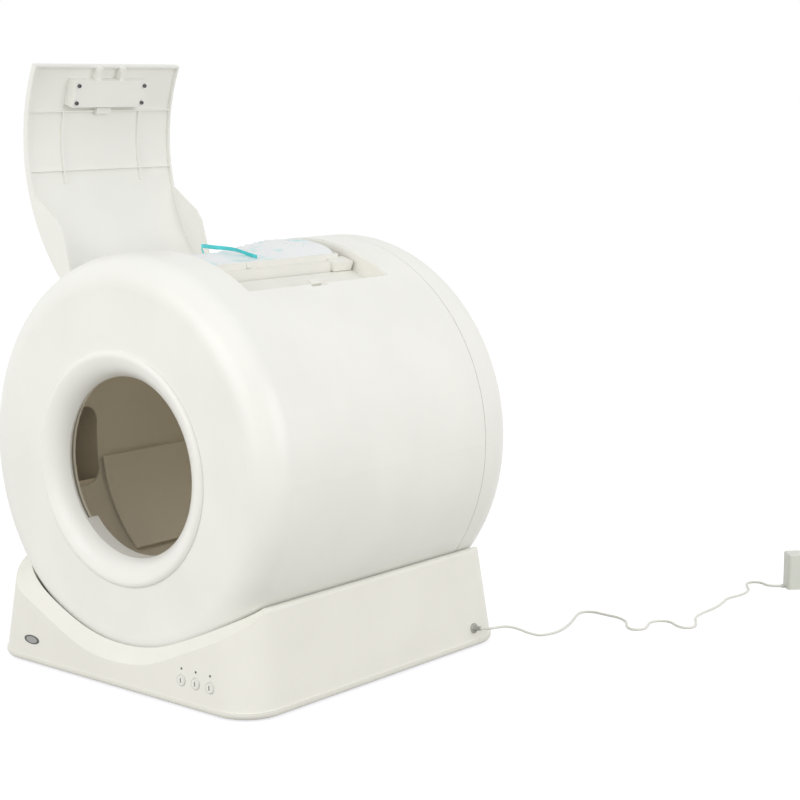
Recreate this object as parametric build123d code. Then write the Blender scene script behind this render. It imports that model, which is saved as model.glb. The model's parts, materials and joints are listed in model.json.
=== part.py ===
from build123d import *
import os
from math import acos, atan2, cos, degrees, pi, radians, sin, sqrt, tan

# A self-cleaning litter box: a drum that turns in a cradle base, with a bagged waste bin under a hinged
# lid, which stands open. Millimetres, +Z up, front towards -Y, origin on the floor below the base's middle.
# Angles round the drum are degrees from +X towards +Z, as seen from the front.

# Drum shell and rear cover
DRUM_R = 270.0
DRUM_LENGTH = 493.0
DRUM_CLEARANCE = 25.0
DRUM_WALL = 4.0
FRONT_ROUND = 40.0
REAR_ROUND = 46.0
SEAM_TO_REAR = 71.0
SEAM_GAP = 0.8
SPIGOT_LENGTH = 14.0
SPIGOT_WALL = 3.0
REAR_POST_ANGLES = (20.0, 160.0, 232.0, 308.0)
REAR_POST_R = 7.5
REAR_POST_FLOOR = 6.0
REAR_POST_LENGTH = 38.0
SCREW_R = 2.0
SCREW_HEAD_R = 3.8
SCREW_HEAD_H = 2.6
SCREW_LENGTH = 18.0
SCREW_SLOT = 1.0
SCREW_HEAD_GAP = 0.3

# Entry ring and litter lip
ENTRY_DROP = -7.0
ENTRY_INSET = 80.7
ENTRY_SINK = 18.5
RING_WIDTH = 35.2
RING_CROWN = 26.7
RING_COLLAR = 20.7
RING_PROUD = 4.5
RING_WALL = 3.0
LIP_DEPTH = 17.0
LIP_START = 222.0
LIP_END = 318.0

# Inner liner, waste port, chute and sieve scoop
LINER_DEPTH = 70.0
LINER_WALL = 3.5
LINER_FRONT_GAP = 34.0
LINER_REAR_GAP = 89.0
LINER_ROUND = 18.0
LINER_MOUTH_GAP = 6.7
LINER_SEAM_ANGLE = 187.0
STANDOFF_R = 8.0
STANDOFF_ANGLES = (38.0, 142.0, 218.0, 322.0)
PORT_START = 166.5
PORT_END = 198.0
PORT_LENGTH = 86.0
PORT_MARGIN = 2.0
PORT_ROUND = 26.0
CHUTE_WALL = 3.0
CHUTE_TOP = 131.0
CHUTE_FLOOR = 2.0
SCOOP_START = 188.0
SCOOP_END = 230.0
SCOOP_LIFT = 5.0
SCOOP_WALL = 2.4
SCOOP_GAP = 3.0
SLOT_COUNT = 7
SLOT_PITCH = 10.0
SLOT_WIDTH = 4.5
SLOT_MARGIN = 5.0

# Lid, its hinge and its latch, all drawn closed and then swung open
LID_FRONT_MARGIN = 93.0
LID_REAR_MARGIN = 60.0
LID_FREE_ANGLE = 57.3
LID_HEEL_ANGLE = 131.4
LID_WALL = 3.5
LID_OPEN = 98.2
LID_GAP = 1.2
LID_SKIRT = 8.0
LID_RIB = 3.5
LID_RIB_WALL = 2.4
LID_CROSS_RIBS = (71.5, 89.4)
LID_LONG_RIB_MARGIN = 63.5
LID_LONG_RIB_END = 93.5
CHEEK_WALL = 3.0
CHEEK_START = 96.5
CHEEK_PEAKS = ((107.5, 41.0), (112.0, 44.0))
CHEEK_ROUND = 10.0
HINGE_ANGLE = 133.44
HINGE_DEPTH = 5.3
HINGE_PIN_R = 2.0
HINGE_PIN_GAP = 0.05
KNUCKLE_R = 5.0
KNUCKLE_LENGTH = 59.0
KNUCKLE_MARGIN = 26.5
EAR_R = 5.2
EAR_WIDTH = 7.0
EAR_GAP = 0.6
LATCH_ANGLE = 65.6
LATCH_LENGTH = 38.0
LATCH_SHARE = 0.498
LATCH_DEPTH = 21.0
LATCH_COVER_WALL = 2.5
LATCH_WALL = 2.2
LATCH_SCREW_INSET = 6.5
LATCH_SCREW_MARGIN = 6.0
LATCH_SCREW_HEAD_R = 2.7
BOLT_WIDTH = 16.0
BOLT_HEIGHT = 4.0
BOLT_LENGTH = 26.0
BOLT_TRAVEL = 7.0
BOLT_GAP = 0.5
BOSS_INNER = 18.0
BOSS_WIDTH = 7.0
BOSS_DEPTH = 12.0
NUB_ANGLE = 71.5
NUB_TURN = 2.0
NUB_WIDTH = 27.0
NUB_DEPTH = 8.0
THUMB_LENGTH = 22.0
THUMB_WIDTH = 26.0
THUMB_WALL = 3.0
STRIKER_SETBACK = 5.2
STRIKER_WALL = 3.0
STRIKER_REACH = 6.0
STRIKER_WIDTH = 18.0
STRIKER_DEPTH = 4.5
NOTCH_DEPTH = 5.0
NOTCH_START = -22.0
NOTCH_END = 10.0

# Frame round the lid opening, and the bin in it
FRAME_WALL = 2.5
FRAME_FLANGE = 13.0
LEDGE_DEPTH = 26.0
HINGE_POCKET_DEPTH = 22.0
OPENING_HEEL_ANGLE = 135.2
WELL_HINGE_GAP = 18.5
WELL_RIGHT_ANGLE = 70.62
WELL_FLOOR_GAP = 0.6
INLET_SILL = 12.7
INLET_HEAD = 8.5
INLET_LENGTH = 32.0
INLET_MARGIN = 10.0
BIN_WALL = 2.5
BIN_SIDE_GAP = 3.0
BIN_END_GAP = 6.5
BIN_SEAT_GAP = 0.3
BIN_RIM_DEPTH = 15.0
COLLAR_INSET = 9.0
COLLAR_WALL = 2.5
COLLAR_DEPTH = 8.0
TAB_WIDTH = 6.5
TAB_SHIFT = -57.5
GRIP_REACH = 8.5
GRIP_END_REACH = 3.0
GRIP_LENGTH = 36.0
GRIP_DEPTH = 12.5
GRIP_GAP = 0.8
BAG_GAP = 0.4
BAG_WALL = 1.0
BAG_SINK = 1.0
MOUTH_X_SHARES = (0.113, 0.53)
MOUTH_Y_SHARES = (0.57, 0.94)
TAPE_WIDTH = 6.0
TAPE_WALL = 0.9
TAPE_GAP = 0.15
TAPE_SHIFT = -18.5
TAPE_START = 77.0
TAPE_END = 104.0

# Base: tray and cradle cover
BASE_INSET = 20.0
BASE_OVERHANG = 29.0
BASE_FRONT_MARGIN = 22.0
BASE_CORNER = 55.0
BASE_TOP = 136.0
BASE_SIDE_DRAFT = 19.5
BASE_FRONT_DRAFT = 8.5
BASE_WALL = 3.0
BASE_RIM_ROUND = 5.0
TRAY_BOTTOM = 2.0
TRAY_TOP = 12.0
TRAY_ROUND = 7.5
CRADLE_GAP = 3.0
DISH_SHARES = (0.0, 0.24, 0.48, 0.72, 0.86, 1.0)
DISH_HEIGHTS = (39.0, 45.0, 66.0, 91.0, 104.0, 111.0)
DISH_RISES = (1.1, 1.1, 1.015, 0.78, 0.58, 0.55)
DISH_AT = 4.0
DISH_START = -15.0
DISH_END = 71.0
DISH_WALL = 4.8
FOOT_R = 14.0
FOOT_STEM_R = 4.0
FOOT_INSET = 54.0
CELL_LENGTH = 60.0
CELL_SIDE = 12.0
COLUMN_R = 6.0
COLUMN_INSET = 28.0
COLUMN_FRONT = 101.0
COLUMN_REAR = 25.0
COLUMN_TOP = 62.0
BASE_SCREW_SINK = 1.6

# Wheels that carry and turn the drum
WHEEL_R = 24.0
WHEEL_WIDTH = 22.0
WHEEL_INSET = 146.0
WHEEL_ANGLE = 50.0
WHEEL_GAP = 0.3
TYRE_WALL = 5.0
SHAFT_R = 4.0
SHAFT_GAP = 0.05
SHAFT_FRONT_REACH = 35.0
SHAFT_REAR_REACH = 37.0
BRACKET_FRONT = 27.0
BRACKET_REAR = 18.0
BRACKET_WIDTH = 8.0
BRACKET_HALF = 9.0
BRACKET_FOOT = 15.0
SLOT_CLEARANCE = 4.0
GEAR_MODULE = 1.0
GEAR_TEETH = 36
PINION_TEETH = 12
GEAR_WIDTH = 8.0
GEAR_OFFSET = 31.0
GEAR_BACKLASH = 0.5
GEAR_ADDENDUM = 0.85
GEAR_DEDENDUM = 1.25
GEAR_FLANK = 20.0
GEAR_SLOT = 4.0
MOTOR_GAP = 1.0
MOTOR_R = 16.5
GEARBOX_R = 18.5
GEARBOX_LENGTH = 28.0
MOTOR_LENGTH = 36.0
TERMINAL_SIZE = (18.0, 8.0, 8.0)
MOTOR_SHAFT_R = 2.5
MOTOR_SHAFT_DEPTH = 12.0
MOTOR_PLATE = 3.0
MOTOR_SCREW_CIRCLE = 14.0

# Electronics, buttons and badge place
BUTTON_R = 7.5
BUTTON_GAP = 0.4
BUTTON_TRAVEL = 0.8
BUTTON_PROUD = 1.4
BUTTON_LENGTH = 9.0
BUTTON_FLANGE = 1.5
BUTTON_INSET = 121.2
BUTTON_PITCH = 25.6
BUTTON_Z = 37.5
BUTTON_COUNT = 3
LENS_R = 1.6
LENS_RISE = 15.0
LENS_PROUD = 0.3
BOARD_WALL = 1.6
SWITCH_SIDE = 6.0
SWITCH_HEIGHT = 4.0
CONTROL_BOARD = (70.0, 110.0)
CONTROL_BOARD_INSET = 82.0
CONNECTOR_Y = -20.0
CONNECTOR_SIDE = 8.0
CONTROL_BOARD_Z = 13.0
BADGE_SIZE = (30.0, 12.0)
BADGE_INSET = 87.0
BADGE_Z = 35.5
BADGE_PROUD = 0.6
SENSOR_SIZE = (14.0, 10.0, 6.0)
SENSOR_Y = 60.0
MAGNET_R = 4.0
MAGNET_LENGTH = 3.0
LOOM_R = 2.5
LOOM_PASS = 24.0
LOOM_SHARES = (
    (0.175, 0.04), (0.35, 0.12), (0.54, 0.22), (0.69, 0.34),
    (0.81, 0.475), (0.905, 0.62), (0.96, 0.765), (1.0, 0.90),
)

# Cord and adapter; the cord's points are steps across and back from its exit, and heights over the floor
CORD_R = 1.75
CORD_EXIT_INSET = 71.0
CORD_EXIT_Z = 30.5
GLAND_R = 4.2
GLAND_FLANGE_R = 7.0
GLAND_FLANGE = 2.0
GLAND_REACH = 9.0
GLAND_TIP_SHARE = 1.5
ARC_SHARE = 0.48
CORD_LEAD = 12.0
CORD_STEPS = (
    (19, 8.5, 33.2), (20, 30, 31), (21, 55, 23), (23, 78, 11.5), (27, 99, 3.5), (32, 119, 2),
    (34, 141, 2), (29, 164, 2), (18, 196, 2), (5, 224, 2), (-2, 246, 2), (12, 259, 2), (34, 256, 2),
    (59, 257, 2), (81, 244, 2), (94, 223, 2), (109, 213.5, 2), (122, 226.5, 2), (116, 246, 2),
    (107, 264, 2), (113, 281, 2), (129, 287, 2), (146, 274, 2), (162, 269.5, 2), (172.5, 283, 2),
    (162, 304, 2), (145, 328, 2), (139, 358, 2), (140, 390, 2), (134, 424, 2), (124, 456, 2),
    (132, 486, 2), (127, 518, 2), (110, 537, 2), (101.5, 552.5, 2), (104.5, 566.2, 2), (118, 571, 2),
    (130, 562, 2), (144.5, 560.7, 3), (153.2, 569.7, 3),
)
ADAPTER_SIZE = (44.0, 30.0, 56.0)
ADAPTER_ROUND = 5.0
ADAPTER_TURN = 46.0
ADAPTER_BUSH_R = 2.8
ADAPTER_BUSH_LENGTH = 6.0
PRONG_SIZE = (17.0, 1.5, 6.3)
PRONG_PITCH = 12.7

# Values that follow from the sizes above
BASE_WIDTH = 2 * (DRUM_R - BASE_INSET)
BASE_DEPTH = DRUM_LENGTH + BASE_OVERHANG
DRUM_AXIS_Z = DRUM_R + DRUM_CLEARANCE
DRUM_FRONT = BASE_FRONT_MARGIN - BASE_DEPTH / 2
DRUM_REAR = DRUM_FRONT + DRUM_LENGTH
DRUM_SEAM = DRUM_REAR - SEAM_TO_REAR
SHELL_INNER_R = DRUM_R - DRUM_WALL
LINER_R = DRUM_R - LINER_DEPTH
LINER_OUTER_R = LINER_R + LINER_WALL
LINER_FRONT = DRUM_FRONT + LINER_FRONT_GAP
LINER_REAR = DRUM_REAR - LINER_REAR_GAP
ENTRY_AXIS_Z = DRUM_AXIS_Z + ENTRY_DROP
ENTRY_R = LINER_R - ENTRY_INSET
ENTRY_EDGE_Y = DRUM_FRONT + ENTRY_SINK
RING_R = ENTRY_R + RING_WIDTH
RING_CROWN_R = ENTRY_R + RING_CROWN
RING_COLLAR_R = ENTRY_R + RING_COLLAR
LINER_MOUTH_R = ENTRY_R + LINER_MOUTH_GAP
LID_Y0 = DRUM_FRONT + LID_FRONT_MARGIN
LID_Y1 = DRUM_SEAM - LID_REAR_MARGIN
LID_WIDTH = LID_Y1 - LID_Y0
LID_MID_Y = (LID_Y0 + LID_Y1) / 2
LID_INNER_R = DRUM_R - LID_WALL
LID_LONG_RIB = LID_WIDTH / 2 - LID_LONG_RIB_MARGIN
OPENING_Y0 = LID_Y0 - LID_GAP
OPENING_Y1 = LID_Y1 + LID_GAP
OPENING_FREE_ANGLE = LID_FREE_ANGLE - degrees(LID_GAP / DRUM_R)
HINGE_R = DRUM_R - HINGE_DEPTH
HINGE_X = HINGE_R * cos(radians(HINGE_ANGLE))
HINGE_Z = DRUM_AXIS_Z + HINGE_R * sin(radians(HINGE_ANGLE))
HINGE_AXIS = Axis((HINGE_X, 0, HINGE_Z), (0, -1, 0))
KNUCKLE_OUTER = LID_WIDTH / 2 - KNUCKLE_MARGIN
KNUCKLE_INNER = KNUCKLE_OUTER - KNUCKLE_LENGTH
LATCH_WIDTH = LID_WIDTH * LATCH_SHARE
LATCH_COVER_R = DRUM_R - LATCH_DEPTH
LATCH_SCREW_X = LATCH_LENGTH / 2 - LATCH_SCREW_INSET
LATCH_SCREW_Y = LATCH_WIDTH / 2 - LATCH_SCREW_MARGIN
STRIKER_TOP = DRUM_R - STRIKER_DEPTH
LEDGE_R = DRUM_R - LEDGE_DEPTH
HINGE_POCKET_R = DRUM_R - HINGE_POCKET_DEPTH
WELL_LEFT = HINGE_X + WELL_HINGE_GAP
WELL_RIGHT = LEDGE_R * cos(radians(WELL_RIGHT_ANGLE))
WELL_FLOOR_R = LINER_OUTER_R + WELL_FLOOR_GAP + FRAME_WALL
INLET_LOW = ENTRY_DROP + sqrt(WELL_FLOOR_R**2 - WELL_LEFT**2) + INLET_SILL
INLET_HIGH = sqrt(HINGE_POCKET_R**2 - WELL_LEFT**2) - INLET_HEAD
INLET_Y0 = LID_Y0 + INLET_MARGIN
INLET_Y1 = INLET_Y0 + INLET_LENGTH
PORT_Y1 = INLET_Y1 + PORT_MARGIN
PORT_Y0 = PORT_Y1 - PORT_LENGTH
SCOOP_Y0 = PORT_Y1 + SCOOP_GAP
SCOOP_Y1 = LINER_REAR - LINER_ROUND
SLOT_FIRST_Y = SCOOP_Y1 - SLOT_PITCH * SLOT_COUNT
BIN_FLOOR_R = WELL_FLOOR_R + BIN_SEAT_GAP
BIN_RIM_R = DRUM_R - BIN_RIM_DEPTH
BIN_LEFT = WELL_LEFT + BIN_SIDE_GAP
BIN_RIGHT = WELL_RIGHT - BIN_SIDE_GAP
BIN_Y0 = LID_Y0 + BIN_END_GAP
BIN_Y1 = LID_Y1 - BIN_END_GAP
COLLAR_R = DRUM_R - COLLAR_DEPTH
COLLAR_LEFT = BIN_LEFT + COLLAR_INSET
COLLAR_RIGHT = BIN_RIGHT - COLLAR_INSET
COLLAR_Y0 = BIN_Y0 + COLLAR_INSET
COLLAR_Y1 = BIN_Y1 - COLLAR_INSET
BAG_TOP_R = COLLAR_R - BAG_SINK
CRADLE_R = DRUM_R + CRADLE_GAP
WHEEL_Y = BASE_DEPTH / 2 - WHEEL_INSET
WHEEL_ORBIT = DRUM_R + WHEEL_GAP + WHEEL_R
WHEEL_X = WHEEL_ORBIT * cos(radians(WHEEL_ANGLE))
WHEEL_Z = DRUM_AXIS_Z - WHEEL_ORBIT * sin(radians(WHEEL_ANGLE))
SHAFT_FRONT = -WHEEL_Y - SHAFT_FRONT_REACH
SHAFT_REAR = WHEEL_Y + SHAFT_REAR_REACH
BRACKET_Y = (-WHEEL_Y - BRACKET_FRONT, WHEEL_Y + BRACKET_REAR)
GEAR_Y = WHEEL_Y + GEAR_OFFSET
GEAR_R = GEAR_MODULE * GEAR_TEETH / 2
PINION_R = GEAR_MODULE * PINION_TEETH / 2
MOTOR_X = WHEEL_X + (GEAR_R + PINION_R) * cos(radians(WHEEL_ANGLE))
MOTOR_Z = WHEEL_Z - (GEAR_R + PINION_R) * sin(radians(WHEEL_ANGLE))
TRAY_FLOOR = TRAY_BOTTOM + BASE_WALL
SIDE_SLOPE = degrees(atan2(BASE_SIDE_DRAFT, BASE_TOP))
FRONT_SLOPE = degrees(atan2(BASE_FRONT_DRAFT, BASE_TOP))
CONTROL_BOARD_X = CONTROL_BOARD_INSET - BASE_WIDTH / 2
BUTTON_X = [BASE_WIDTH / 2 - BUTTON_INSET + BUTTON_PITCH * i for i in range(BUTTON_COUNT)]
BADGE_X = BADGE_INSET - BASE_WIDTH / 2
GLAND_TIP_X = BASE_WIDTH / 2 + GLAND_REACH
CORD_EXIT_Y = BASE_DEPTH / 2 - CORD_EXIT_INSET
CORD_ROUTE = [
    (GLAND_TIP_X, CORD_EXIT_Y, CORD_EXIT_Z),
    (GLAND_TIP_X + CORD_LEAD, CORD_EXIT_Y, CORD_EXIT_Z + CORD_LEAD * BASE_SIDE_DRAFT / BASE_TOP),
] + [(GLAND_TIP_X + x, CORD_EXIT_Y + y, z) for x, y, z in CORD_STEPS]


def polar(radius, angle, center_z=0.0):
    """Point of the XZ drawing at an angle round the drum."""
    return radius * cos(radians(angle)), center_z + radius * sin(radians(angle))


def arc(radius, start, end, center_z=0.0):
    """Arc of the XZ drawing, from one angle to another."""
    return ThreePointArc(*[polar(radius, a, center_z) for a in (start, (start + end) / 2, end)])


def outline(*curves):
    """Face inside a closed chain of curves."""
    return make_face([edge for curve in curves for edge in curve.edges()])


def prism(face, y0, y1, z=DRUM_AXIS_Z):
    """Solid of an XZ drawing whose origin is at height z, between two planes across Y."""
    return Pos(0, y0, z) * extrude(Plane.XZ * face, amount=y1 - y0, dir=(0, 1, 0))


def sector(r0, r1, a0, a1, y0, y1, z=DRUM_AXIS_Z):
    """Piece of a thick-walled cylinder about an axis along Y."""
    face = outline(
        arc(r0, a0, a1), Line(polar(r0, a1), polar(r1, a1)),
        arc(r1, a1, a0), Line(polar(r1, a0), polar(r0, a0)),
    )
    return prism(face, y0, y1, z)


def round_bar(radius, y0, y1, x=0.0, z=0.0):
    """Cylinder along Y."""
    return Pos(x, (y0 + y1) / 2, z) * Rot(90, 0, 0) * Cylinder(radius, y1 - y0)


def box(x0, x1, y0, y1, z0, z1):
    return Pos((x0 + x1) / 2, (y0 + y1) / 2, (z0 + z1) / 2) * Box(x1 - x0, y1 - y0, z1 - z0)


def spun(*curves, z=DRUM_AXIS_Z):
    """Solid of revolution about an axis along Y, from a drawing of radius and Y."""
    return Pos(0, 0, z) * revolve(outline(*curves), Axis.Y)


def round_drum(radius, front, rear, front_round, rear_round, z=DRUM_AXIS_Z):
    """Solid cylinder along Y with rounded end edges."""
    front_edge = radius - front_round
    rear_edge = radius - rear_round
    turn = sin(radians(45))
    return spun(
        Polyline((front_edge, front), (0, front), (0, rear), (rear_edge, rear)),
        ThreePointArc(
            (rear_edge, rear),
            (rear_edge + rear_round * turn, rear - rear_round * (1 - turn)),
            (radius, rear - rear_round),
        ),
        Line((radius, rear - rear_round), (radius, front + front_round)),
        ThreePointArc(
            (radius, front + front_round),
            (front_edge + front_round * turn, front + front_round * (1 - turn)),
            (front_edge, front),
        ),
        z=z,
    )


def around_drum(angle, radius, y=0.0):
    """Place on the drum: local Z points outwards, local Y along the axis, local X towards smaller angles."""
    x, z = polar(radius, angle)
    return Location((x, y, DRUM_AXIS_Z + z), (0, 90 - angle, 0))


def half_space(y, towards):
    """Large block on one side of a plane across Y."""
    reach = 2 * (DRUM_R + DRUM_AXIS_Z)
    return Pos(0, y + towards * reach / 2, DRUM_AXIS_Z) * Box(reach, reach, reach)


def screw(length=SCREW_LENGTH, head_r=SCREW_HEAD_R):
    """Pan-head screw, head top at the origin, pointing to -Z."""
    body = Pos(0, 0, -SCREW_HEAD_H / 2) * Cylinder(head_r, SCREW_HEAD_H)
    body += Pos(0, 0, -SCREW_HEAD_H - length / 2) * Cylinder(SCREW_R, length)
    for turn in (0, 90):
        body -= Rot(0, 0, turn) * Box(1.3 * head_r, SCREW_SLOT, 2 * SCREW_SLOT)
    return body


def opened(shape):
    """A piece of the lid, swung from closed to open about the hinge."""
    return shape.rotate(HINGE_AXIS, LID_OPEN)


def base_plan(z, inset=0.0):
    """Outline of the base at a height, drawn in by its draft and an inset."""
    rise = z / BASE_TOP
    width = BASE_WIDTH - 2 * (BASE_SIDE_DRAFT * rise + inset)
    depth = BASE_DEPTH - 2 * (BASE_FRONT_DRAFT * rise + inset)
    return Pos(0, 0, z) * RectangleRounded(width, depth, BASE_CORNER - inset)


def base_front(z):
    """Y of the base's front face at a height."""
    return -BASE_DEPTH / 2 + BASE_FRONT_DRAFT * z / BASE_TOP


def make_drum_skin():
    """The drum's white skin, front to rear, before it is parted at the seam."""
    outer = round_drum(DRUM_R, DRUM_FRONT, DRUM_REAR, FRONT_ROUND, REAR_ROUND)
    return outer - round_drum(
        SHELL_INNER_R, DRUM_FRONT + DRUM_WALL, DRUM_REAR - DRUM_WALL,
        FRONT_ROUND - DRUM_WALL, REAR_ROUND - DRUM_WALL,
    )


def rear_post_radius():
    return SHELL_INNER_R - SPIGOT_WALL - REAR_POST_R


def make_drum_shell(skin):
    shell = skin & half_space(DRUM_SEAM, -1)
    shell -= round_bar(RING_COLLAR_R, DRUM_FRONT - DRUM_WALL, DRUM_FRONT + FRONT_ROUND, z=ENTRY_AXIS_Z)
    shell -= sector(
        LEDGE_R, DRUM_R + DRUM_WALL, OPENING_FREE_ANGLE, OPENING_HEEL_ANGLE, OPENING_Y0, OPENING_Y1
    )
    notch = degrees(NOTCH_DEPTH / DRUM_R)
    shell -= sector(
        LEDGE_R, DRUM_R + DRUM_WALL, OPENING_FREE_ANGLE - notch, OPENING_FREE_ANGLE + notch,
        LID_MID_Y + NOTCH_START, LID_MID_Y + NOTCH_END,
    )
    for angle in STANDOFF_ANGLES:
        x, z = polar((LINER_MOUTH_R + LINER_R) / 2, angle, ENTRY_AXIS_Z)
        shell += round_bar(STANDOFF_R, DRUM_FRONT + DRUM_WALL / 2, LINER_FRONT - LINER_WALL, x, z)
    post_end = DRUM_SEAM - SPIGOT_LENGTH
    for angle in REAR_POST_ANGLES:
        x, z = polar(rear_post_radius(), angle, DRUM_AXIS_Z)
        post = round_bar(REAR_POST_R, post_end - REAR_POST_LENGTH, post_end, x, z)
        web = around_drum(angle, (rear_post_radius() + DRUM_R) / 2, post_end - REAR_POST_LENGTH / 2)
        post += web * Box(REAR_POST_R, REAR_POST_LENGTH, DRUM_R - rear_post_radius() - DRUM_WALL)
        shell += post - round_bar(SCREW_R, post_end - SCREW_LENGTH, post_end, x, z)
    return shell


def make_rear_cover(skin):
    cover = skin & half_space(DRUM_SEAM + SEAM_GAP, 1)
    cover += sector(
        SHELL_INNER_R - SPIGOT_WALL, SHELL_INNER_R, 0, 180,
        DRUM_SEAM - SPIGOT_LENGTH, DRUM_SEAM + SPIGOT_LENGTH,
    )
    cover += sector(
        SHELL_INNER_R - SPIGOT_WALL, SHELL_INNER_R, 180, 360,
        DRUM_SEAM - SPIGOT_LENGTH, DRUM_SEAM + SPIGOT_LENGTH,
    )
    body = round_drum(DRUM_R, DRUM_FRONT, DRUM_REAR, FRONT_ROUND, REAR_ROUND)
    post_end = DRUM_SEAM - SPIGOT_LENGTH
    for angle in REAR_POST_ANGLES:
        x, z = polar(rear_post_radius(), angle, DRUM_AXIS_Z)
        cover += round_bar(REAR_POST_R, post_end, DRUM_REAR, x, z) & body
        cover -= round_bar(SCREW_HEAD_R + SCREW_HEAD_GAP, post_end + REAR_POST_FLOOR, DRUM_REAR, x, z)
        cover -= round_bar(SCREW_R, post_end, DRUM_REAR, x, z)
    return cover


def make_rear_cover_screws():
    seat = DRUM_SEAM - SPIGOT_LENGTH + REAR_POST_FLOOR + SCREW_HEAD_H
    screws = []
    for angle in REAR_POST_ANGLES:
        x, z = polar(rear_post_radius(), angle, DRUM_AXIS_Z)
        screws.append(Pos(x, seat, z) * Rot(-90, 0, 0) * screw())
    return screws


def make_entry_ring():
    """Bezel with a raised crown and a funnel that narrows to the entry edge."""
    front = DRUM_FRONT - RING_PROUD
    rim_mid = (RING_R + RING_CROWN_R) / 2
    ring = spun(
        Polyline((RING_COLLAR_R, DRUM_FRONT), (RING_R, DRUM_FRONT), (RING_R, DRUM_FRONT - RING_PROUD / 3)),
        ThreePointArc(
            (RING_R, DRUM_FRONT - RING_PROUD / 3),
            (rim_mid + RING_PROUD / 3, front + RING_PROUD / 8),
            (RING_CROWN_R, front),
        ),
        ThreePointArc(
            (RING_CROWN_R, front),
            ((RING_CROWN_R + ENTRY_R) / 2 - RING_WALL, (front + ENTRY_EDGE_Y) / 2 - RING_WALL),
            (ENTRY_R, ENTRY_EDGE_Y),
        ),
        Polyline(
            (ENTRY_R, ENTRY_EDGE_Y),
            (ENTRY_R, ENTRY_EDGE_Y + RING_WALL),
            (ENTRY_R + RING_WALL, ENTRY_EDGE_Y + RING_WALL),
            (RING_COLLAR_R - RING_WALL, DRUM_FRONT + RING_WALL),
            (RING_COLLAR_R - RING_WALL, LINER_FRONT - LINER_WALL),
            (RING_COLLAR_R, LINER_FRONT - LINER_WALL),
            (RING_COLLAR_R, DRUM_FRONT),
        ),
        z=ENTRY_AXIS_Z,
    )
    return ring


def make_litter_lip():
    """Guard behind the bottom of the entry edge, which keeps litter in."""
    front = ENTRY_EDGE_Y + RING_WALL
    return sector(ENTRY_R, ENTRY_R + RING_WALL, LIP_START, LIP_END, front, front + LIP_DEPTH, ENTRY_AXIS_Z)


def port_cutter():
    """Block through the liner's left wall, its corners rounded."""
    mid = (PORT_START + PORT_END) / 2
    height = radians(PORT_END - PORT_START) * LINER_R
    block = Box(height, PORT_Y1 - PORT_Y0, 2 * LINER_ROUND)
    block = fillet(block.edges().filter_by(Axis.Z), PORT_ROUND)
    x, z = polar(LINER_R, mid, ENTRY_AXIS_Z)
    return Location((x, (PORT_Y0 + PORT_Y1) / 2, z), (0, 90 - mid, 0)) * block


def make_liner(upper):
    outer = round_drum(
        LINER_OUTER_R, LINER_FRONT - LINER_WALL, LINER_REAR + LINER_WALL,
        LINER_ROUND + LINER_WALL, LINER_ROUND + LINER_WALL, ENTRY_AXIS_Z,
    )
    liner = outer - round_drum(LINER_R, LINER_FRONT, LINER_REAR, LINER_ROUND, LINER_ROUND, ENTRY_AXIS_Z)
    liner -= round_bar(LINER_MOUTH_R, LINER_FRONT - 2 * LINER_WALL, LINER_FRONT + LINER_WALL, z=ENTRY_AXIS_Z)
    liner -= port_cutter()
    seam_z = polar(LINER_R, LINER_SEAM_ANGLE, ENTRY_AXIS_Z)[1]
    reach = 2 * LINER_OUTER_R
    side = reach / 2 if upper else -reach / 2
    return liner & Pos(0, 0, seam_z + side) * Box(2 * reach, 2 * reach, reach)


def make_waste_chute():
    """Duct outside the liner, from the waste port up to the bin's inlet: two cheeks and a floor."""
    low = PORT_END + CHUTE_FLOOR
    ring = sector(LINER_R, SHELL_INNER_R, CHUTE_TOP, low, PORT_Y0 - CHUTE_WALL, PORT_Y1 + CHUTE_WALL)
    hollow = sector(LINER_R / 2, DRUM_R, CHUTE_TOP - CHUTE_FLOOR, PORT_END, PORT_Y0, PORT_Y1)
    liner = round_bar(LINER_OUTER_R, LINER_FRONT, LINER_REAR, z=ENTRY_AXIS_Z)
    return ring - hollow - liner - frame_block()


def make_sieve_scoop():
    """Curved plate inside the liner, rooted at its upper edge, slotted towards the rear."""
    outer_r = LINER_R - SCOOP_LIFT
    inner_r = outer_r - SCOOP_WALL
    plate = sector(inner_r, outer_r, SCOOP_START, SCOOP_END, SCOOP_Y0, SCOOP_Y1, ENTRY_AXIS_Z)
    root_end = SCOOP_START + degrees(SCOOP_WALL / LINER_R)
    plate += sector(inner_r, LINER_R, SCOOP_START, root_end, SCOOP_Y0, SCOOP_Y1, ENTRY_AXIS_Z)
    for i in range(SLOT_COUNT):
        y = SLOT_FIRST_Y + SLOT_PITCH * i
        plate -= sector(
            inner_r - SCOOP_WALL, outer_r + SCOOP_WALL, SCOOP_START + SLOT_MARGIN, SCOOP_END - SLOT_MARGIN,
            y, y + SLOT_WIDTH, ENTRY_AXIS_Z,
        )
    return plate


def floor_height(radius, x):
    """Height over the drum's axis of a floor curved about the liner's axis."""
    return ENTRY_DROP + sqrt(radius**2 - x**2)


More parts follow.
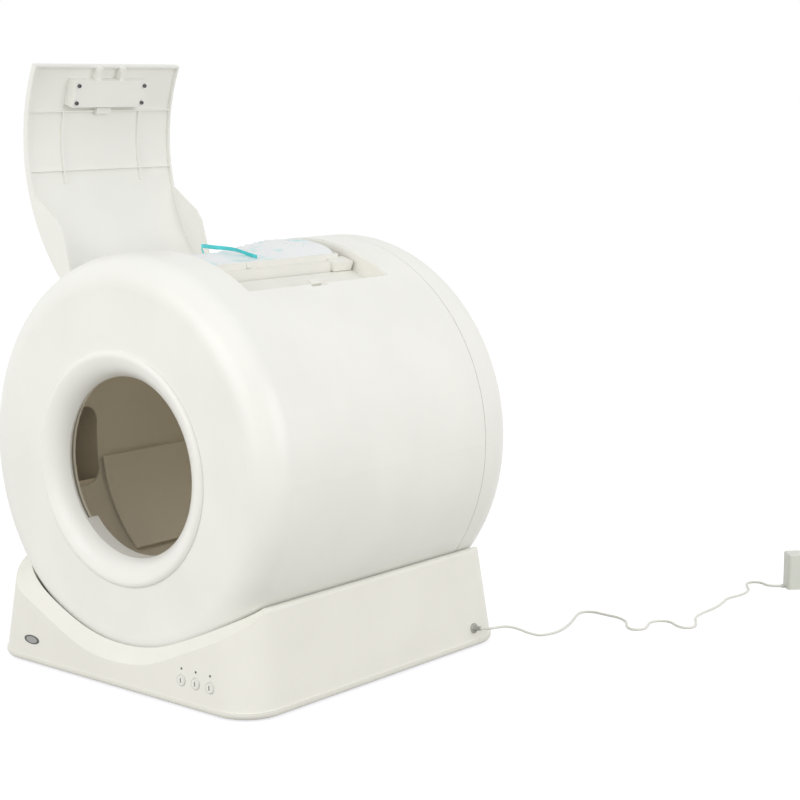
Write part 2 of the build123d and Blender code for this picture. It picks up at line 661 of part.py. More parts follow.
def well_face(grow=0.0):
    """Section of the space under the lid: ledge, bin well and hinge pocket."""
    ledge = LEDGE_R - grow
    floor = WELL_FLOOR_R - grow
    pocket = HINGE_POCKET_R - grow
    left = WELL_LEFT - grow
    right = WELL_RIGHT + grow
    free = OPENING_FREE_ANGLE - degrees(grow / LEDGE_R)
    heel = OPENING_HEEL_ANGLE + degrees(grow / LEDGE_R)
    ledge_end = degrees(acos(right / ledge))
    pocket_start = degrees(acos(left / pocket))
    floor_start = degrees(acos(right / floor))
    floor_end = degrees(acos(left / floor))
    return outline(
        Line(polar(SHELL_INNER_R, free), polar(ledge, free)),
        arc(ledge, free, ledge_end),
        Line(polar(ledge, ledge_end), (right, floor_height(floor, right))),
        arc(floor, floor_start, floor_end, ENTRY_DROP),
        Line((left, floor_height(floor, left)), polar(pocket, pocket_start)),
        arc(pocket, pocket_start, heel),
        Line(polar(pocket, heel), polar(SHELL_INNER_R, heel)),
        arc(SHELL_INNER_R, heel, free),
    )


def frame_block():
    """The bin frame as a block: its well filled, with the flange that lies under the shell."""
    flange_turn = degrees(FRAME_FLANGE / SHELL_INNER_R)
    block = prism(well_face(FRAME_WALL), OPENING_Y0 - FRAME_WALL, OPENING_Y1 + FRAME_WALL)
    return block + sector(
        SHELL_INNER_R - FRAME_WALL, SHELL_INNER_R,
        OPENING_FREE_ANGLE - flange_turn, OPENING_HEEL_ANGLE + flange_turn,
        OPENING_Y0 - FRAME_FLANGE, OPENING_Y1 + FRAME_FLANGE,
    )


def make_bin_frame():
    """Sunk frame under the lid: flange below the shell, latch ledge, bin well and hinge ears."""
    frame = frame_block() - prism(well_face(), OPENING_Y0, OPENING_Y1)
    for y in ear_places():
        frame += make_ear(y)
    frame -= box(
        WELL_LEFT - 2 * FRAME_WALL, WELL_LEFT + FRAME_WALL, INLET_Y0, INLET_Y1,
        DRUM_AXIS_Z + INLET_LOW, DRUM_AXIS_Z + INLET_HIGH,
    )
    return frame - round_bar(HINGE_PIN_R, OPENING_Y0, OPENING_Y1, HINGE_X, HINGE_Z)


def ear_places():
    """Middle of each hinge ear along Y: one beside each end of the two knuckles."""
    offset = EAR_GAP + EAR_WIDTH / 2
    places = []
    for side in (-1, 1):
        places.append(LID_MID_Y + side * (KNUCKLE_INNER - offset))
        places.append(LID_MID_Y + side * (KNUCKLE_OUTER + offset))
    return places


def make_ear(y):
    """Hinge ear that stands in the hinge pocket."""
    height = HINGE_R - HINGE_POCKET_R + FRAME_WALL / 2
    ear = round_bar(EAR_R, y - EAR_WIDTH / 2, y + EAR_WIDTH / 2, HINGE_X, HINGE_Z)
    return ear + around_drum(HINGE_ANGLE, HINGE_R - height / 2, y) * Box(2 * EAR_R, EAR_WIDTH, height)


def make_hinge_pin():
    reach = KNUCKLE_OUTER + EAR_GAP + EAR_WIDTH
    return round_bar(HINGE_PIN_R, LID_MID_Y - reach, LID_MID_Y + reach, HINGE_X, HINGE_Z)


def latch_front():
    """Local X of the latch box's wall towards the lid's free edge, on the latch's own place."""
    return LATCH_LENGTH / 2


def bolt_radius():
    """Radius of the middle of the latch bolt."""
    return LATCH_COVER_R + LATCH_COVER_WALL + BOLT_GAP + BOLT_HEIGHT / 2


def make_latch_striker():
    """Hook on the ledge that the latch bolt slides under."""
    post = degrees(STRIKER_WALL / LEDGE_R)
    reach = degrees(STRIKER_REACH / LEDGE_R)
    y0 = LID_MID_Y - STRIKER_WIDTH / 2
    y1 = LID_MID_Y + STRIKER_WIDTH / 2
    start = OPENING_FREE_ANGLE + degrees(STRIKER_SETBACK / LEDGE_R)
    nose = latch_front() + BOLT_TRAVEL + BOLT_GAP
    under = sqrt((bolt_radius() + BOLT_HEIGHT / 2) ** 2 + nose**2) + BOLT_GAP
    hook = sector(LEDGE_R, STRIKER_TOP, start, start + post, y0, y1)
    return hook + sector(under, STRIKER_TOP, start, start + post + reach, y0, y1)


def cheek_face():
    """Section of a lid cheek, deepest near the hinge."""
    rim = LID_INNER_R - LID_SKIRT / 2
    corners = [polar(rim, CHEEK_START)]
    corners += [polar(DRUM_R - depth, angle) for angle, depth in CHEEK_PEAKS]
    corners.append(polar(rim, LID_HEEL_ANGLE))
    face = outline(Polyline(*corners), arc(rim, LID_HEEL_ANGLE, CHEEK_START))
    peaks = face.vertices().sort_by_distance(Vertex(*corners[1], 0))[:2]
    return fillet(peaks, CHEEK_ROUND)


def make_lid_panel():
    lid = sector(LID_INNER_R, DRUM_R, LID_FREE_ANGLE, LID_HEEL_ANGLE, LID_Y0, LID_Y1)
    skirt_r = DRUM_R - LID_SKIRT
    skirt_turn = degrees(CHEEK_WALL / DRUM_R)
    lid += sector(skirt_r, DRUM_R, LID_FREE_ANGLE, LID_FREE_ANGLE + skirt_turn, LID_Y0, LID_Y1)
    for y in (LID_Y0, LID_Y1 - CHEEK_WALL):
        lid += sector(skirt_r, DRUM_R, LID_FREE_ANGLE, LID_HEEL_ANGLE, y, y + CHEEK_WALL)
        lid += prism(cheek_face(), y, y + CHEEK_WALL)
    rib_r = LID_INNER_R - LID_RIB
    for angle in LID_CROSS_RIBS:
        lid += sector(rib_r, DRUM_R, angle, angle + degrees(LID_RIB_WALL / DRUM_R), LID_Y0, LID_Y1)
    for side in (-1, 1):
        y = LID_MID_Y + side * LID_LONG_RIB
        lid += sector(rib_r, DRUM_R, LID_CROSS_RIBS[0], LID_LONG_RIB_END, y, y + LID_RIB_WALL)
    lid += make_latch_box()
    lid += make_latch_bosses()
    for side in (-1, 1):
        y0, y1 = sorted(LID_MID_Y + side * reach for reach in (KNUCKLE_INNER, KNUCKLE_OUTER))
        lid += make_knuckle(y0, y1)
    lid -= round_bar(HINGE_PIN_R + HINGE_PIN_GAP, LID_Y0, LID_Y1, HINGE_X, HINGE_Z)
    lid -= thumb_window()
    return opened(lid)


def make_knuckle(y0, y1):
    """Hinge barrel and the web that joins it to the lid."""
    web_r = LID_INNER_R + LID_WALL / 3
    return round_bar(KNUCKLE_R, y0, y1, HINGE_X, HINGE_Z) + sector(
        LID_INNER_R - LID_WALL, web_r, LID_HEEL_ANGLE - 2, HINGE_ANGLE, y0, y1
    ) + sector(LID_INNER_R - LID_WALL, DRUM_R, LID_HEEL_ANGLE - 2, LID_HEEL_ANGLE, y0, y1)


def make_latch_box():
    """Walls under the lid that hold the latch, with a gap for the bolt in the front wall."""
    low = LATCH_COVER_R + LATCH_COVER_WALL
    height = LID_INNER_R + LID_WALL / 2 - low
    place = around_drum(LATCH_ANGLE, low + height / 2, LID_MID_Y)
    walls = Box(LATCH_LENGTH, LATCH_WIDTH, height)
    walls -= Box(LATCH_LENGTH - 2 * LATCH_WALL, LATCH_WIDTH - 2 * LATCH_WALL, 2 * height)
    slot = 2 * (BOLT_HEIGHT + 2 * BOLT_GAP)
    walls -= Pos(latch_front(), 0, -height / 2) * Box(4 * LATCH_WALL, BOLT_WIDTH + 2 * BOLT_GAP, slot)
    for x in (-LATCH_SCREW_X, LATCH_SCREW_X):
        for y in (-LATCH_SCREW_Y, LATCH_SCREW_Y):
            walls += Pos(x, y, 0) * (Cylinder(2 * SCREW_R, height) - Cylinder(SCREW_R, 2 * height))
    return place * walls


def make_latch_bosses():
    """Guides beside the bolt, from the latch box to the free edge, and a finger nub behind the box."""
    box_front = LATCH_ANGLE - degrees((latch_front() - LATCH_WALL / 2) / LID_INNER_R)
    root = LID_INNER_R + LID_WALL / 2
    bosses = sector(
        LID_INNER_R - NUB_DEPTH, root, NUB_ANGLE - NUB_TURN / 2, NUB_ANGLE + NUB_TURN / 2,
        LID_MID_Y - NUB_WIDTH / 2, LID_MID_Y + NUB_WIDTH / 2,
    )
    for side in (-1, 1):
        y0, y1 = sorted(LID_MID_Y + side * reach for reach in (BOSS_INNER, BOSS_INNER + BOSS_WIDTH))
        bosses += sector(LID_INNER_R - BOSS_DEPTH, root, LID_FREE_ANGLE, box_front, y0, y1)
    return bosses


def thumb_window():
    """Window in the lid's skin for the thumb slide of the latch."""
    length = THUMB_LENGTH + BOLT_TRAVEL + 2 * BOLT_GAP
    place = around_drum(LATCH_ANGLE, LID_INNER_R, LID_MID_Y)
    return place * Pos(BOLT_TRAVEL / 2, 0, 0) * Box(length, THUMB_WIDTH + 2 * BOLT_GAP, 4 * LID_WALL)


def make_latch_cover():
    place = around_drum(LATCH_ANGLE, LATCH_COVER_R + LATCH_COVER_WALL / 2, LID_MID_Y)
    plate = Box(LATCH_LENGTH, LATCH_WIDTH, LATCH_COVER_WALL)
    for x in (-LATCH_SCREW_X, LATCH_SCREW_X):
        for y in (-LATCH_SCREW_Y, LATCH_SCREW_Y):
            plate -= Pos(x, y, 0) * Cylinder(SCREW_R, 2 * LATCH_COVER_WALL)
    return opened(place * plate)


def make_latch_cover_screws():
    depth = LID_INNER_R - LATCH_COVER_R - LATCH_COVER_WALL
    screws = []
    for x in (-LATCH_SCREW_X, LATCH_SCREW_X):
        for y in (-LATCH_SCREW_Y, LATCH_SCREW_Y):
            place = around_drum(LATCH_ANGLE, LATCH_COVER_R - SCREW_HEAD_H, LID_MID_Y) * Pos(x, y, 0)
            screws.append(opened(place * Rot(180, 0, 0) * screw(depth - LID_WALL, LATCH_SCREW_HEAD_R)))
    return screws


def make_latch_bolt():
    """Latch bolt with its stem and thumb slide, drawn back as it is with the lid unlocked."""
    place = around_drum(LATCH_ANGLE, bolt_radius(), LID_MID_Y)
    nose = latch_front() + LATCH_WALL / 4
    bolt = Pos(nose - BOLT_LENGTH / 2, 0, 0) * Box(BOLT_LENGTH, BOLT_WIDTH, BOLT_HEIGHT)
    thumb_top = DRUM_R - LID_WALL / 4 - bolt_radius()
    stem = thumb_top - THUMB_WALL / 2
    bolt += Pos(0, 0, stem / 2) * Box(BOLT_WIDTH / 2, BOLT_WIDTH / 2, stem)
    bolt += Pos(0, 0, thumb_top - THUMB_WALL / 2) * Box(THUMB_LENGTH, THUMB_WIDTH, THUMB_WALL)
    return opened(place * bolt)


def bin_face(inset=0.0, rim=BIN_RIM_R):
    """Section of the bin, drawn in by an inset at its sides and floor."""
    left = BIN_LEFT + inset
    right = BIN_RIGHT - inset
    floor = BIN_FLOOR_R + inset
    return outline(
        Line((right, sqrt(rim**2 - right**2)), (right, floor_height(floor, right))),
        arc(floor, degrees(acos(right / floor)), degrees(acos(left / floor)), ENTRY_DROP),
        Line((left, floor_height(floor, left)), (left, sqrt(rim**2 - left**2))),
        arc(rim, degrees(acos(left / rim)), degrees(acos(right / rim))),
    )


def collar_face(inset, low, high):
    """Section of the bin's collar between two radii, drawn in by an inset at its sides."""
    left = COLLAR_LEFT + inset
    right = COLLAR_RIGHT - inset
    return outline(
        Line((right, sqrt(high**2 - right**2)), (right, sqrt(low**2 - right**2))),
        arc(low, degrees(acos(right / low)), degrees(acos(left / low))),
        Line((left, sqrt(low**2 - left**2)), (left, sqrt(high**2 - left**2))),
        arc(high, degrees(acos(left / high)), degrees(acos(right / high))),
    )


def collar_block(inset, low, high):
    """The bin's collar as a block, drawn in by an inset at its sides and ends."""
    return prism(collar_face(inset, low, high), COLLAR_Y0 + inset, COLLAR_Y1 - inset)


def inlet_notch(margin=0.0):
    """Notch in the bin's left wall where waste comes in from the chute."""
    return box(
        BIN_LEFT - BIN_WALL, BIN_LEFT + 2 * BIN_WALL, INLET_Y0 + margin, INLET_Y1 - margin,
        DRUM_AXIS_Z + INLET_LOW + BIN_WALL, DRUM_AXIS_Z + INLET_HIGH - margin,
    )


def make_waste_bin():
    """Tub with a shoulder, a collar that holds the bag's mouth, a tab on it and a grip over the ledge."""
    tub = prism(bin_face(), BIN_Y0, BIN_Y1)
    tub += collar_block(0, BIN_RIM_R - BIN_WALL / 2, COLLAR_R)
    tab_y = LID_MID_Y + TAB_SHIFT
    tab_z = DRUM_AXIS_Z + sqrt(COLLAR_R**2 - COLLAR_RIGHT**2)
    tub += box(
        COLLAR_RIGHT - COLLAR_WALL / 2, COLLAR_RIGHT + COLLAR_WALL,
        tab_y - TAB_WIDTH / 2, tab_y + TAB_WIDTH / 2, tab_z - TAB_WIDTH, tab_z,
    )
    grip_r = DRUM_R - GRIP_DEPTH
    grip_start = degrees(acos((BIN_RIGHT + GRIP_REACH) / grip_r))
    grip_end = degrees(acos((COLLAR_RIGHT - COLLAR_WALL) / grip_r))
    grip_y1 = BIN_Y1 + GRIP_END_REACH
    tub += sector(LEDGE_R + GRIP_GAP, grip_r, grip_start, grip_end, grip_y1 - GRIP_LENGTH, grip_y1)
    tub -= prism(bin_face(BIN_WALL, BIN_RIM_R - BIN_WALL), BIN_Y0 + BIN_WALL, BIN_Y1 - BIN_WALL)
    tub -= collar_block(COLLAR_WALL, BIN_RIM_R - 2 * BIN_WALL, DRUM_R)
    return tub - inlet_notch()


def make_waste_bag():
    """Bag that lines the bin and rises inside its collar, with its mouth left open towards the rear."""
    inset = BIN_WALL + BAG_GAP
    shoulder = BIN_RIM_R - inset
    neck = COLLAR_WALL + BAG_GAP
    neck_low = BIN_RIM_R - 3 * BIN_WALL
    bag = prism(bin_face(inset, shoulder), BIN_Y0 + inset, BIN_Y1 - inset)
    bag += collar_block(neck, neck_low, BAG_TOP_R)
    inset += BAG_WALL
    bag -= prism(bin_face(inset, shoulder - BAG_WALL), BIN_Y0 + inset, BIN_Y1 - inset)
    bag -= collar_block(neck + BAG_WALL, neck_low - BAG_WALL, BAG_TOP_R - BAG_WALL)
    x0, x1 = [COLLAR_LEFT + share * (COLLAR_RIGHT - COLLAR_LEFT) for share in MOUTH_X_SHARES]
    y0, y1 = [COLLAR_Y0 + share * (COLLAR_Y1 - COLLAR_Y0) for share in MOUTH_Y_SHARES]
    mouth_low = DRUM_AXIS_Z + floor_height(BIN_FLOOR_R + inset + BAG_WALL, 0)
    bag -= box(x0, x1, y0, y1, mouth_low, DRUM_AXIS_Z + DRUM_R)
    return bag - Pos(BAG_WALL, 0, 0) * inlet_notch(BAG_WALL)


def make_drawstring():
    """Flat tape that lies across the bag."""
    low = BAG_TOP_R + TAPE_GAP
    y = LID_MID_Y + TAPE_SHIFT
    return sector(low, low + TAPE_WALL, TAPE_START, TAPE_END, y - TAPE_WIDTH / 2, y + TAPE_WIDTH / 2)


def make_base_tray():
    tray = extrude(base_plan(0), TRAY_TOP - TRAY_BOTTOM)
    tray = fillet(tray.edges().group_by(Axis.Z)[0], TRAY_ROUND)
    hollow = extrude(base_plan(0, BASE_WALL), TRAY_TOP)
    hollow = fillet(hollow.edges().group_by(Axis.Z)[0], TRAY_ROUND - BASE_WALL)
    tray = Pos(0, 0, TRAY_BOTTOM) * (tray - Pos(0, 0, BASE_WALL) * hollow)
    for x, y in foot_places():
        tray -= Pos(x, y, TRAY_BOTTOM) * Cylinder(FOOT_STEM_R, 4 * BASE_WALL)
    for x, y in column_places():
        tray -= Pos(x, y, TRAY_BOTTOM) * Cylinder(SCREW_R, 4 * BASE_WALL)
        tray -= Pos(x, y, TRAY_BOTTOM) * Cylinder(SCREW_HEAD_R + SCREW_HEAD_GAP, 2 * BASE_SCREW_SINK)
    return tray


def foot_places():
    x = BASE_WIDTH / 2 - FOOT_INSET
    y = BASE_DEPTH / 2 - FOOT_INSET
    return [(sx * x, sy * y) for sx in (-1, 1) for sy in (-1, 1)]


def column_places():
    x = BASE_WIDTH / 2 - COLUMN_INSET
    places = (COLUMN_FRONT - BASE_DEPTH / 2, 0, BASE_DEPTH / 2 - COLUMN_REAR)
    return [(side * x, y) for side in (-1, 1) for y in places]


def make_feet():
    foot = Pos(0, 0, TRAY_BOTTOM / 2) * Cylinder(FOOT_R, TRAY_BOTTOM)
    foot += Pos(0, 0, TRAY_FLOOR / 2) * Cylinder(FOOT_STEM_R, TRAY_FLOOR)
    return [Pos(x, y, 0) * foot for x, y in foot_places()]


def make_load_cells():
    """Weighing bars over the feet, with the wide hole of a bending beam."""
    bar = Box(CELL_LENGTH, CELL_SIDE, CELL_SIDE)
    bar -= Rot(90, 0, 0) * Cylinder(CELL_SIDE / 3, 2 * CELL_SIDE)
    cells = []
    for x, y in foot_places():
        middle = x - (CELL_LENGTH / 2 - FOOT_STEM_R) * (1 if x > 0 else -1)
        cells.append(Pos(middle, y, TRAY_FLOOR + CELL_SIDE / 2) * bar)
    return cells


def dish_space(drop=0.0):
    """Room over the dished front of the base, which sinks to the middle and rises to the rear."""
    reach = BASE_WIDTH / 2
    top = 2 * BASE_TOP
    faces = []
    for y in (DISH_START, DISH_END):
        right = []
        for share, height, rise in zip(DISH_SHARES, DISH_HEIGHTS, DISH_RISES):
            right.append((share * reach, height + rise * (y - DISH_AT) - drop))
        left = [(-x, z) for x, z in reversed(right[1:])]
        low = right[-1][1]
        face = outline(
            Spline(*left, *right),
            Polyline((reach, low), (reach, top), (-reach, top), (-reach, low)),
        )
        faces.append(Pos(0, y - BASE_DEPTH / 2, 0) * (Plane.XZ * face))
    return loft(faces, ruled=True)


def cradle_space(grow=0.0):
    """Room for the drum in the base: open to the rear, rounded at the front."""
    radius = CRADLE_R + grow
    return round_drum(
        radius, DRUM_FRONT - CRADLE_GAP - grow, BASE_DEPTH, FRONT_ROUND + CRADLE_GAP + grow, FRONT_ROUND
    )


def make_base_cover():
    outer = loft([base_plan(TRAY_TOP), base_plan(BASE_TOP)], ruled=True)
    outer = fillet(outer.edges().group_by(Axis.Z)[-1], BASE_RIM_ROUND)
    outer = outer - cradle_space() - dish_space()
    inner = loft([base_plan(0, BASE_WALL), base_plan(BASE_TOP - BASE_WALL, BASE_WALL)], ruled=True)
    inner = inner - cradle_space(BASE_WALL) - dish_space(DISH_WALL)
    cover = outer - inner
    for side in (-1, 1):
        for y in (-WHEEL_Y, WHEEL_Y):
            half = WHEEL_R + SLOT_CLEARANCE
            depth = WHEEL_WIDTH / 2 + SLOT_CLEARANCE
            cover -= round_bar(half, y - depth, y + depth, side * WHEEL_X, WHEEL_Z)
    cover -= round_bar(
        GEAR_R + GEAR_SLOT, GEAR_Y - GEAR_WIDTH / 2 - GEAR_SLOT, GEAR_Y + GEAR_WIDTH / 2 + GEAR_SLOT,
        WHEEL_X, WHEEL_Z,
    )
    for x in BUTTON_X:
        front = base_front(BUTTON_Z)
        cover -= round_bar(BUTTON_R + BUTTON_GAP, front - BASE_WALL, front + 2 * BASE_WALL, x, BUTTON_Z)
        cover -= round_bar(LENS_R, front - BASE_WALL, front + 3 * BASE_WALL, x, BUTTON_Z + LENS_RISE)
    cover -= gland_place() * Cylinder(GLAND_R, 12 * BASE_WALL)
    for x, y in column_places():
        cover += make_column(x, y, inner)
    return cover


def make_column(x, y, inner):
    """Screw column inside the cover, joined to the side wall by a web."""
    side = 1 if x > 0 else -1
    column = Pos(x, y, (TRAY_FLOOR + COLUMN_TOP) / 2) * Cylinder(COLUMN_R, COLUMN_TOP - TRAY_FLOOR)
    x0, x1 = sorted((x, side * BASE_WIDTH / 2))
    web = box(x0, x1, y - BASE_WALL / 2, y + BASE_WALL / 2, TRAY_TOP, COLUMN_TOP) & inner
    hole = Pos(x, y, TRAY_FLOOR) * Cylinder(SCREW_R, 2 * SCREW_LENGTH)
    return column + web - hole


def make_base_screws():
    head_top = TRAY_BOTTOM + BASE_SCREW_SINK - SCREW_HEAD_H
    return [Pos(x, y, head_top) * Rot(180, 0, 0) * screw() for x, y in column_places()]


def make_shaft(side, front, rear):
    return round_bar(SHAFT_R, front, rear, side * WHEEL_X, WHEEL_Z)


def make_wheels(side, bore):
    """Wheel hubs of one side, each with a groove-free rim for its tyre."""
    hubs = []
    for y in (-WHEEL_Y, WHEEL_Y):
        hub = round_bar(
            WHEEL_R - TYRE_WALL, y - WHEEL_WIDTH / 2, y + WHEEL_WIDTH / 2, side * WHEEL_X, WHEEL_Z
        )
        hubs.append(hub - round_bar(bore, y - WHEEL_WIDTH, y + WHEEL_WIDTH, side * WHEEL_X, WHEEL_Z))
    return hubs


def make_tyres(side):
    tyres = []
    for y in (-WHEEL_Y, WHEEL_Y):
        tyre = round_bar(WHEEL_R, y - WHEEL_WIDTH / 2, y + WHEEL_WIDTH / 2, side * WHEEL_X, WHEEL_Z)
        hub_r = WHEEL_R - TYRE_WALL
        tyres.append(tyre - round_bar(hub_r, y - WHEEL_WIDTH, y + WHEEL_WIDTH, side * WHEEL_X, WHEEL_Z))
    return tyres


def make_brackets(side, places, bore):
    """Posts on the tray floor that hold a shaft."""
    posts = []
    x = side * WHEEL_X
    for y in places:
        y0 = y - BRACKET_WIDTH / 2
        y1 = y + BRACKET_WIDTH / 2
        post = box(x - BRACKET_HALF, x + BRACKET_HALF, y0, y1, TRAY_FLOOR, WHEEL_Z)
        post += box(x - BRACKET_FOOT, x + BRACKET_FOOT, y0, y1, TRAY_FLOOR, TRAY_FLOOR + BASE_WALL)
        post += round_bar(BRACKET_HALF, y0, y1, x, WHEEL_Z)
        posts.append(post - round_bar(bore, y0 - 1, y1 + 1, x, WHEEL_Z))
    return posts


def gear_wheel(teeth, width, phase):
    """Spur gear about local Z with straight-sided teeth, one of them at the phase angle."""
    pitch_r = GEAR_MODULE * teeth / 2
    root_r = pitch_r - GEAR_DEDENDUM * GEAR_MODULE
    tip_r = pitch_r + GEAR_ADDENDUM * GEAR_MODULE
    half_tooth = pi * GEAR_MODULE / 4 - GEAR_BACKLASH / 2
    lean = tan(radians(GEAR_FLANK))
    wheel = Cylinder(root_r, width)
    base_half = half_tooth + (pitch_r - root_r) * lean
    tip_half = half_tooth - (tip_r - pitch_r) * lean
    sunk = root_r - GEAR_MODULE
    tooth = Polygon(
        (sunk, -base_half), (root_r, -base_half), (tip_r, -tip_half),
        (tip_r, tip_half), (root_r, base_half), (sunk, base_half), align=None,
    )
    tooth = Pos(0, 0, -width / 2) * extrude(tooth, width)
    return wheel + [Rot(0, 0, phase + 360 / teeth * i) * tooth for i in range(teeth)]


def mesh_place(x, z, y):
    """Place of a gear: its axis along Y, its local X towards the partner along the line of centres."""
    return Pos(x, y, z) * Rot(0, WHEEL_ANGLE, 0) * Rot(90, 0, 0)


def make_drive_gear():
    gear = mesh_place(WHEEL_X, WHEEL_Z, GEAR_Y) * gear_wheel(GEAR_TEETH, GEAR_WIDTH, 0)
    return gear - round_bar(SHAFT_R, GEAR_Y - GEAR_WIDTH, GEAR_Y + GEAR_WIDTH, WHEEL_X, WHEEL_Z)


def make_pinion():
    """Pinion on the gearbox's output shaft."""
    phase = 180 + 180 / PINION_TEETH
    pinion = mesh_place(MOTOR_X, MOTOR_Z, GEAR_Y) * gear_wheel(PINION_TEETH, GEAR_WIDTH, phase)
    return pinion + round_bar(MOTOR_SHAFT_R, GEAR_Y, motor_face() + MOTOR_SHAFT_DEPTH, MOTOR_X, MOTOR_Z)


def motor_face():
    """Y of the gearbox's front face, behind its plate."""
    return GEAR_Y + GEAR_WIDTH / 2 + MOTOR_GAP + SCREW_HEAD_H + MOTOR_PLATE


def make_gear_motor():
    face = motor_face()
    motor = round_bar(GEARBOX_R, face, face + GEARBOX_LENGTH, MOTOR_X, MOTOR_Z)
    motor += round_bar(MOTOR_R, face, face + GEARBOX_LENGTH + MOTOR_LENGTH, MOTOR_X, MOTOR_Z)
    terminal_x, terminal_y, terminal_z = TERMINAL_SIZE
    rear = face + GEARBOX_LENGTH + MOTOR_LENGTH
    motor += Pos(MOTOR_X, rear + terminal_y / 2, MOTOR_Z) * Box(terminal_x, terminal_y, terminal_z)
    bore_end = face + MOTOR_SHAFT_DEPTH + MOTOR_GAP
    motor -= round_bar(MOTOR_SHAFT_R + SHAFT_GAP, face, bore_end, MOTOR_X, MOTOR_Z)
    for x, z in motor_screw_places():
        motor -= round_bar(SCREW_R, face, face + SCREW_LENGTH, x, z)
    return motor


def motor_screw_places():
    return [
        (MOTOR_X + MOTOR_SCREW_CIRCLE * cos(radians(a)), MOTOR_Z + MOTOR_SCREW_CIRCLE * sin(radians(a)))
        for a in (0, 120, 240)
    ]


def make_motor_bracket():
    """Angle plate that holds the gearbox and stands on the tray floor."""
    y1 = motor_face()
    y0 = y1 - MOTOR_PLATE
    plate = box(MOTOR_X - GEARBOX_R, MOTOR_X + GEARBOX_R, y0, y1, TRAY_FLOOR, MOTOR_Z)
    plate += round_bar(GEARBOX_R, y0, y1, MOTOR_X, MOTOR_Z)
    plate += box(
        MOTOR_X - GEARBOX_R, MOTOR_X + GEARBOX_R, y0, y1 + GEARBOX_LENGTH,
        TRAY_FLOOR, TRAY_FLOOR + MOTOR_PLATE,
    )
    plate -= round_bar(MOTOR_SHAFT_R + BUTTON_GAP, y0 - 1, y1 + 1, MOTOR_X, MOTOR_Z)
    for x, z in motor_screw_places():
        plate -= round_bar(SCREW_R, y0 - 1, y1 + 1, x, z)
    return plate


def make_motor_screws():
    y = motor_face() - MOTOR_PLATE
    return [
        Pos(x, y - SCREW_HEAD_H, z) * Rot(90, 0, 0) * screw(SCREW_LENGTH / 2) for x, z in motor_screw_places()
    ]


def make_button(x):
    front = base_front(BUTTON_Z) - BUTTON_PROUD
    cap = round_bar(BUTTON_R, front, front + BUTTON_LENGTH, x, BUTTON_Z)
    cap = fillet(cap.edges().sort_by(Axis.Y)[0], BUTTON_PROUD / 2)
    inside = base_front(BUTTON_Z + BUTTON_R + BUTTON_FLANGE) + BASE_WALL + BUTTON_GAP
    return cap + round_bar(BUTTON_R + BUTTON_FLANGE, inside, inside + BUTTON_FLANGE, x, BUTTON_Z)


def button_back():
    """Y of the buttons' rear faces."""
    return base_front(BUTTON_Z) - BUTTON_PROUD + BUTTON_LENGTH


def make_button_board():
    """Board behind the buttons with a tact switch for each, standing on the tray floor."""
    y0 = button_back() + BUTTON_TRAVEL + BUTTON_GAP + SWITCH_HEIGHT
    x0 = BUTTON_X[0] - 2 * BUTTON_R
    x1 = BUTTON_X[-1] + 2 * BUTTON_R
    board = box(x0, x1, y0, y0 + BOARD_WALL, TRAY_FLOOR, BUTTON_Z + LENS_RISE + BUTTON_R)
    for x in BUTTON_X:
        half = SWITCH_SIDE / 2
        board += box(x - half, x + half, y0 - SWITCH_HEIGHT, y0, BUTTON_Z - half, BUTTON_Z + half)
    return board


def make_light_guides():
    """Light guides from the board to the small lenses over the buttons."""
    board_y = button_back() + BUTTON_TRAVEL + BUTTON_GAP + SWITCH_HEIGHT
    z = BUTTON_Z + LENS_RISE
    return [round_bar(LENS_R, base_front(z) - LENS_PROUD, board_y, x, z) for x in BUTTON_X]


def make_control_board():
    """Main board on four stand-offs, with a radio can, a relay and a terminal block."""
    width, depth = CONTROL_BOARD
    board = Pos(CONTROL_BOARD_X, 0, CONTROL_BOARD_Z) * Box(width, depth, BOARD_WALL)
    top = CONTROL_BOARD_Z + BOARD_WALL / 2
    chips = ((-18, 32, 20, 26, 3), (14, 34, 15, 19, 15), (0, -42, 42, 12, 10), (-12, -4, 14, 14, 2))
    for dx, dy, sx, sy, sz in chips:
        board += Pos(CONTROL_BOARD_X + dx, dy, top + sz / 2) * Box(sx, sy, sz)
    half = CONNECTOR_SIDE / 2
    board += Pos(CONTROL_BOARD_X + width / 2 - half, CONNECTOR_Y, top + half) * Box(*[CONNECTOR_SIDE] * 3)
    leg = CONTROL_BOARD_Z - TRAY_FLOOR
    for sx in (-1, 1):
        for sy in (-1, 1):
            x = CONTROL_BOARD_X + sx * (width / 2 - COLUMN_R)
            y = sy * (depth / 2 - COLUMN_R)
            board += Pos(x, y, TRAY_FLOOR + leg / 2) * Cylinder(COLUMN_R / 2, leg)
    return board


def make_badge():
    """Plain plate in the badge place on the front face."""
    plate = extrude(Ellipse(BADGE_SIZE[0] / 2, BADGE_SIZE[1] / 2), BADGE_PROUD)
    return Pos(BADGE_X, base_front(BADGE_Z), BADGE_Z) * Rot(90 - FRONT_SLOPE, 0, 0) * plate


def make_drum_sensor():
    """Sensor under the lowest part of the cradle that finds the drum's home place."""
    top = DRUM_AXIS_Z - CRADLE_R - BASE_WALL
    sx, sy, sz = SENSOR_SIZE
    return Pos(0, SENSOR_Y, top - sz / 2) * Box(sx, sy, sz)


def make_home_magnet():
    """Magnet on the inside of the drum shell, over the sensor at rest."""
    low = DRUM_AXIS_Z - sqrt(SHELL_INNER_R**2 - MAGNET_R**2)
    return Pos(0, SENSOR_Y, low + MAGNET_LENGTH / 2) * Cylinder(MAGNET_R, MAGNET_LENGTH)


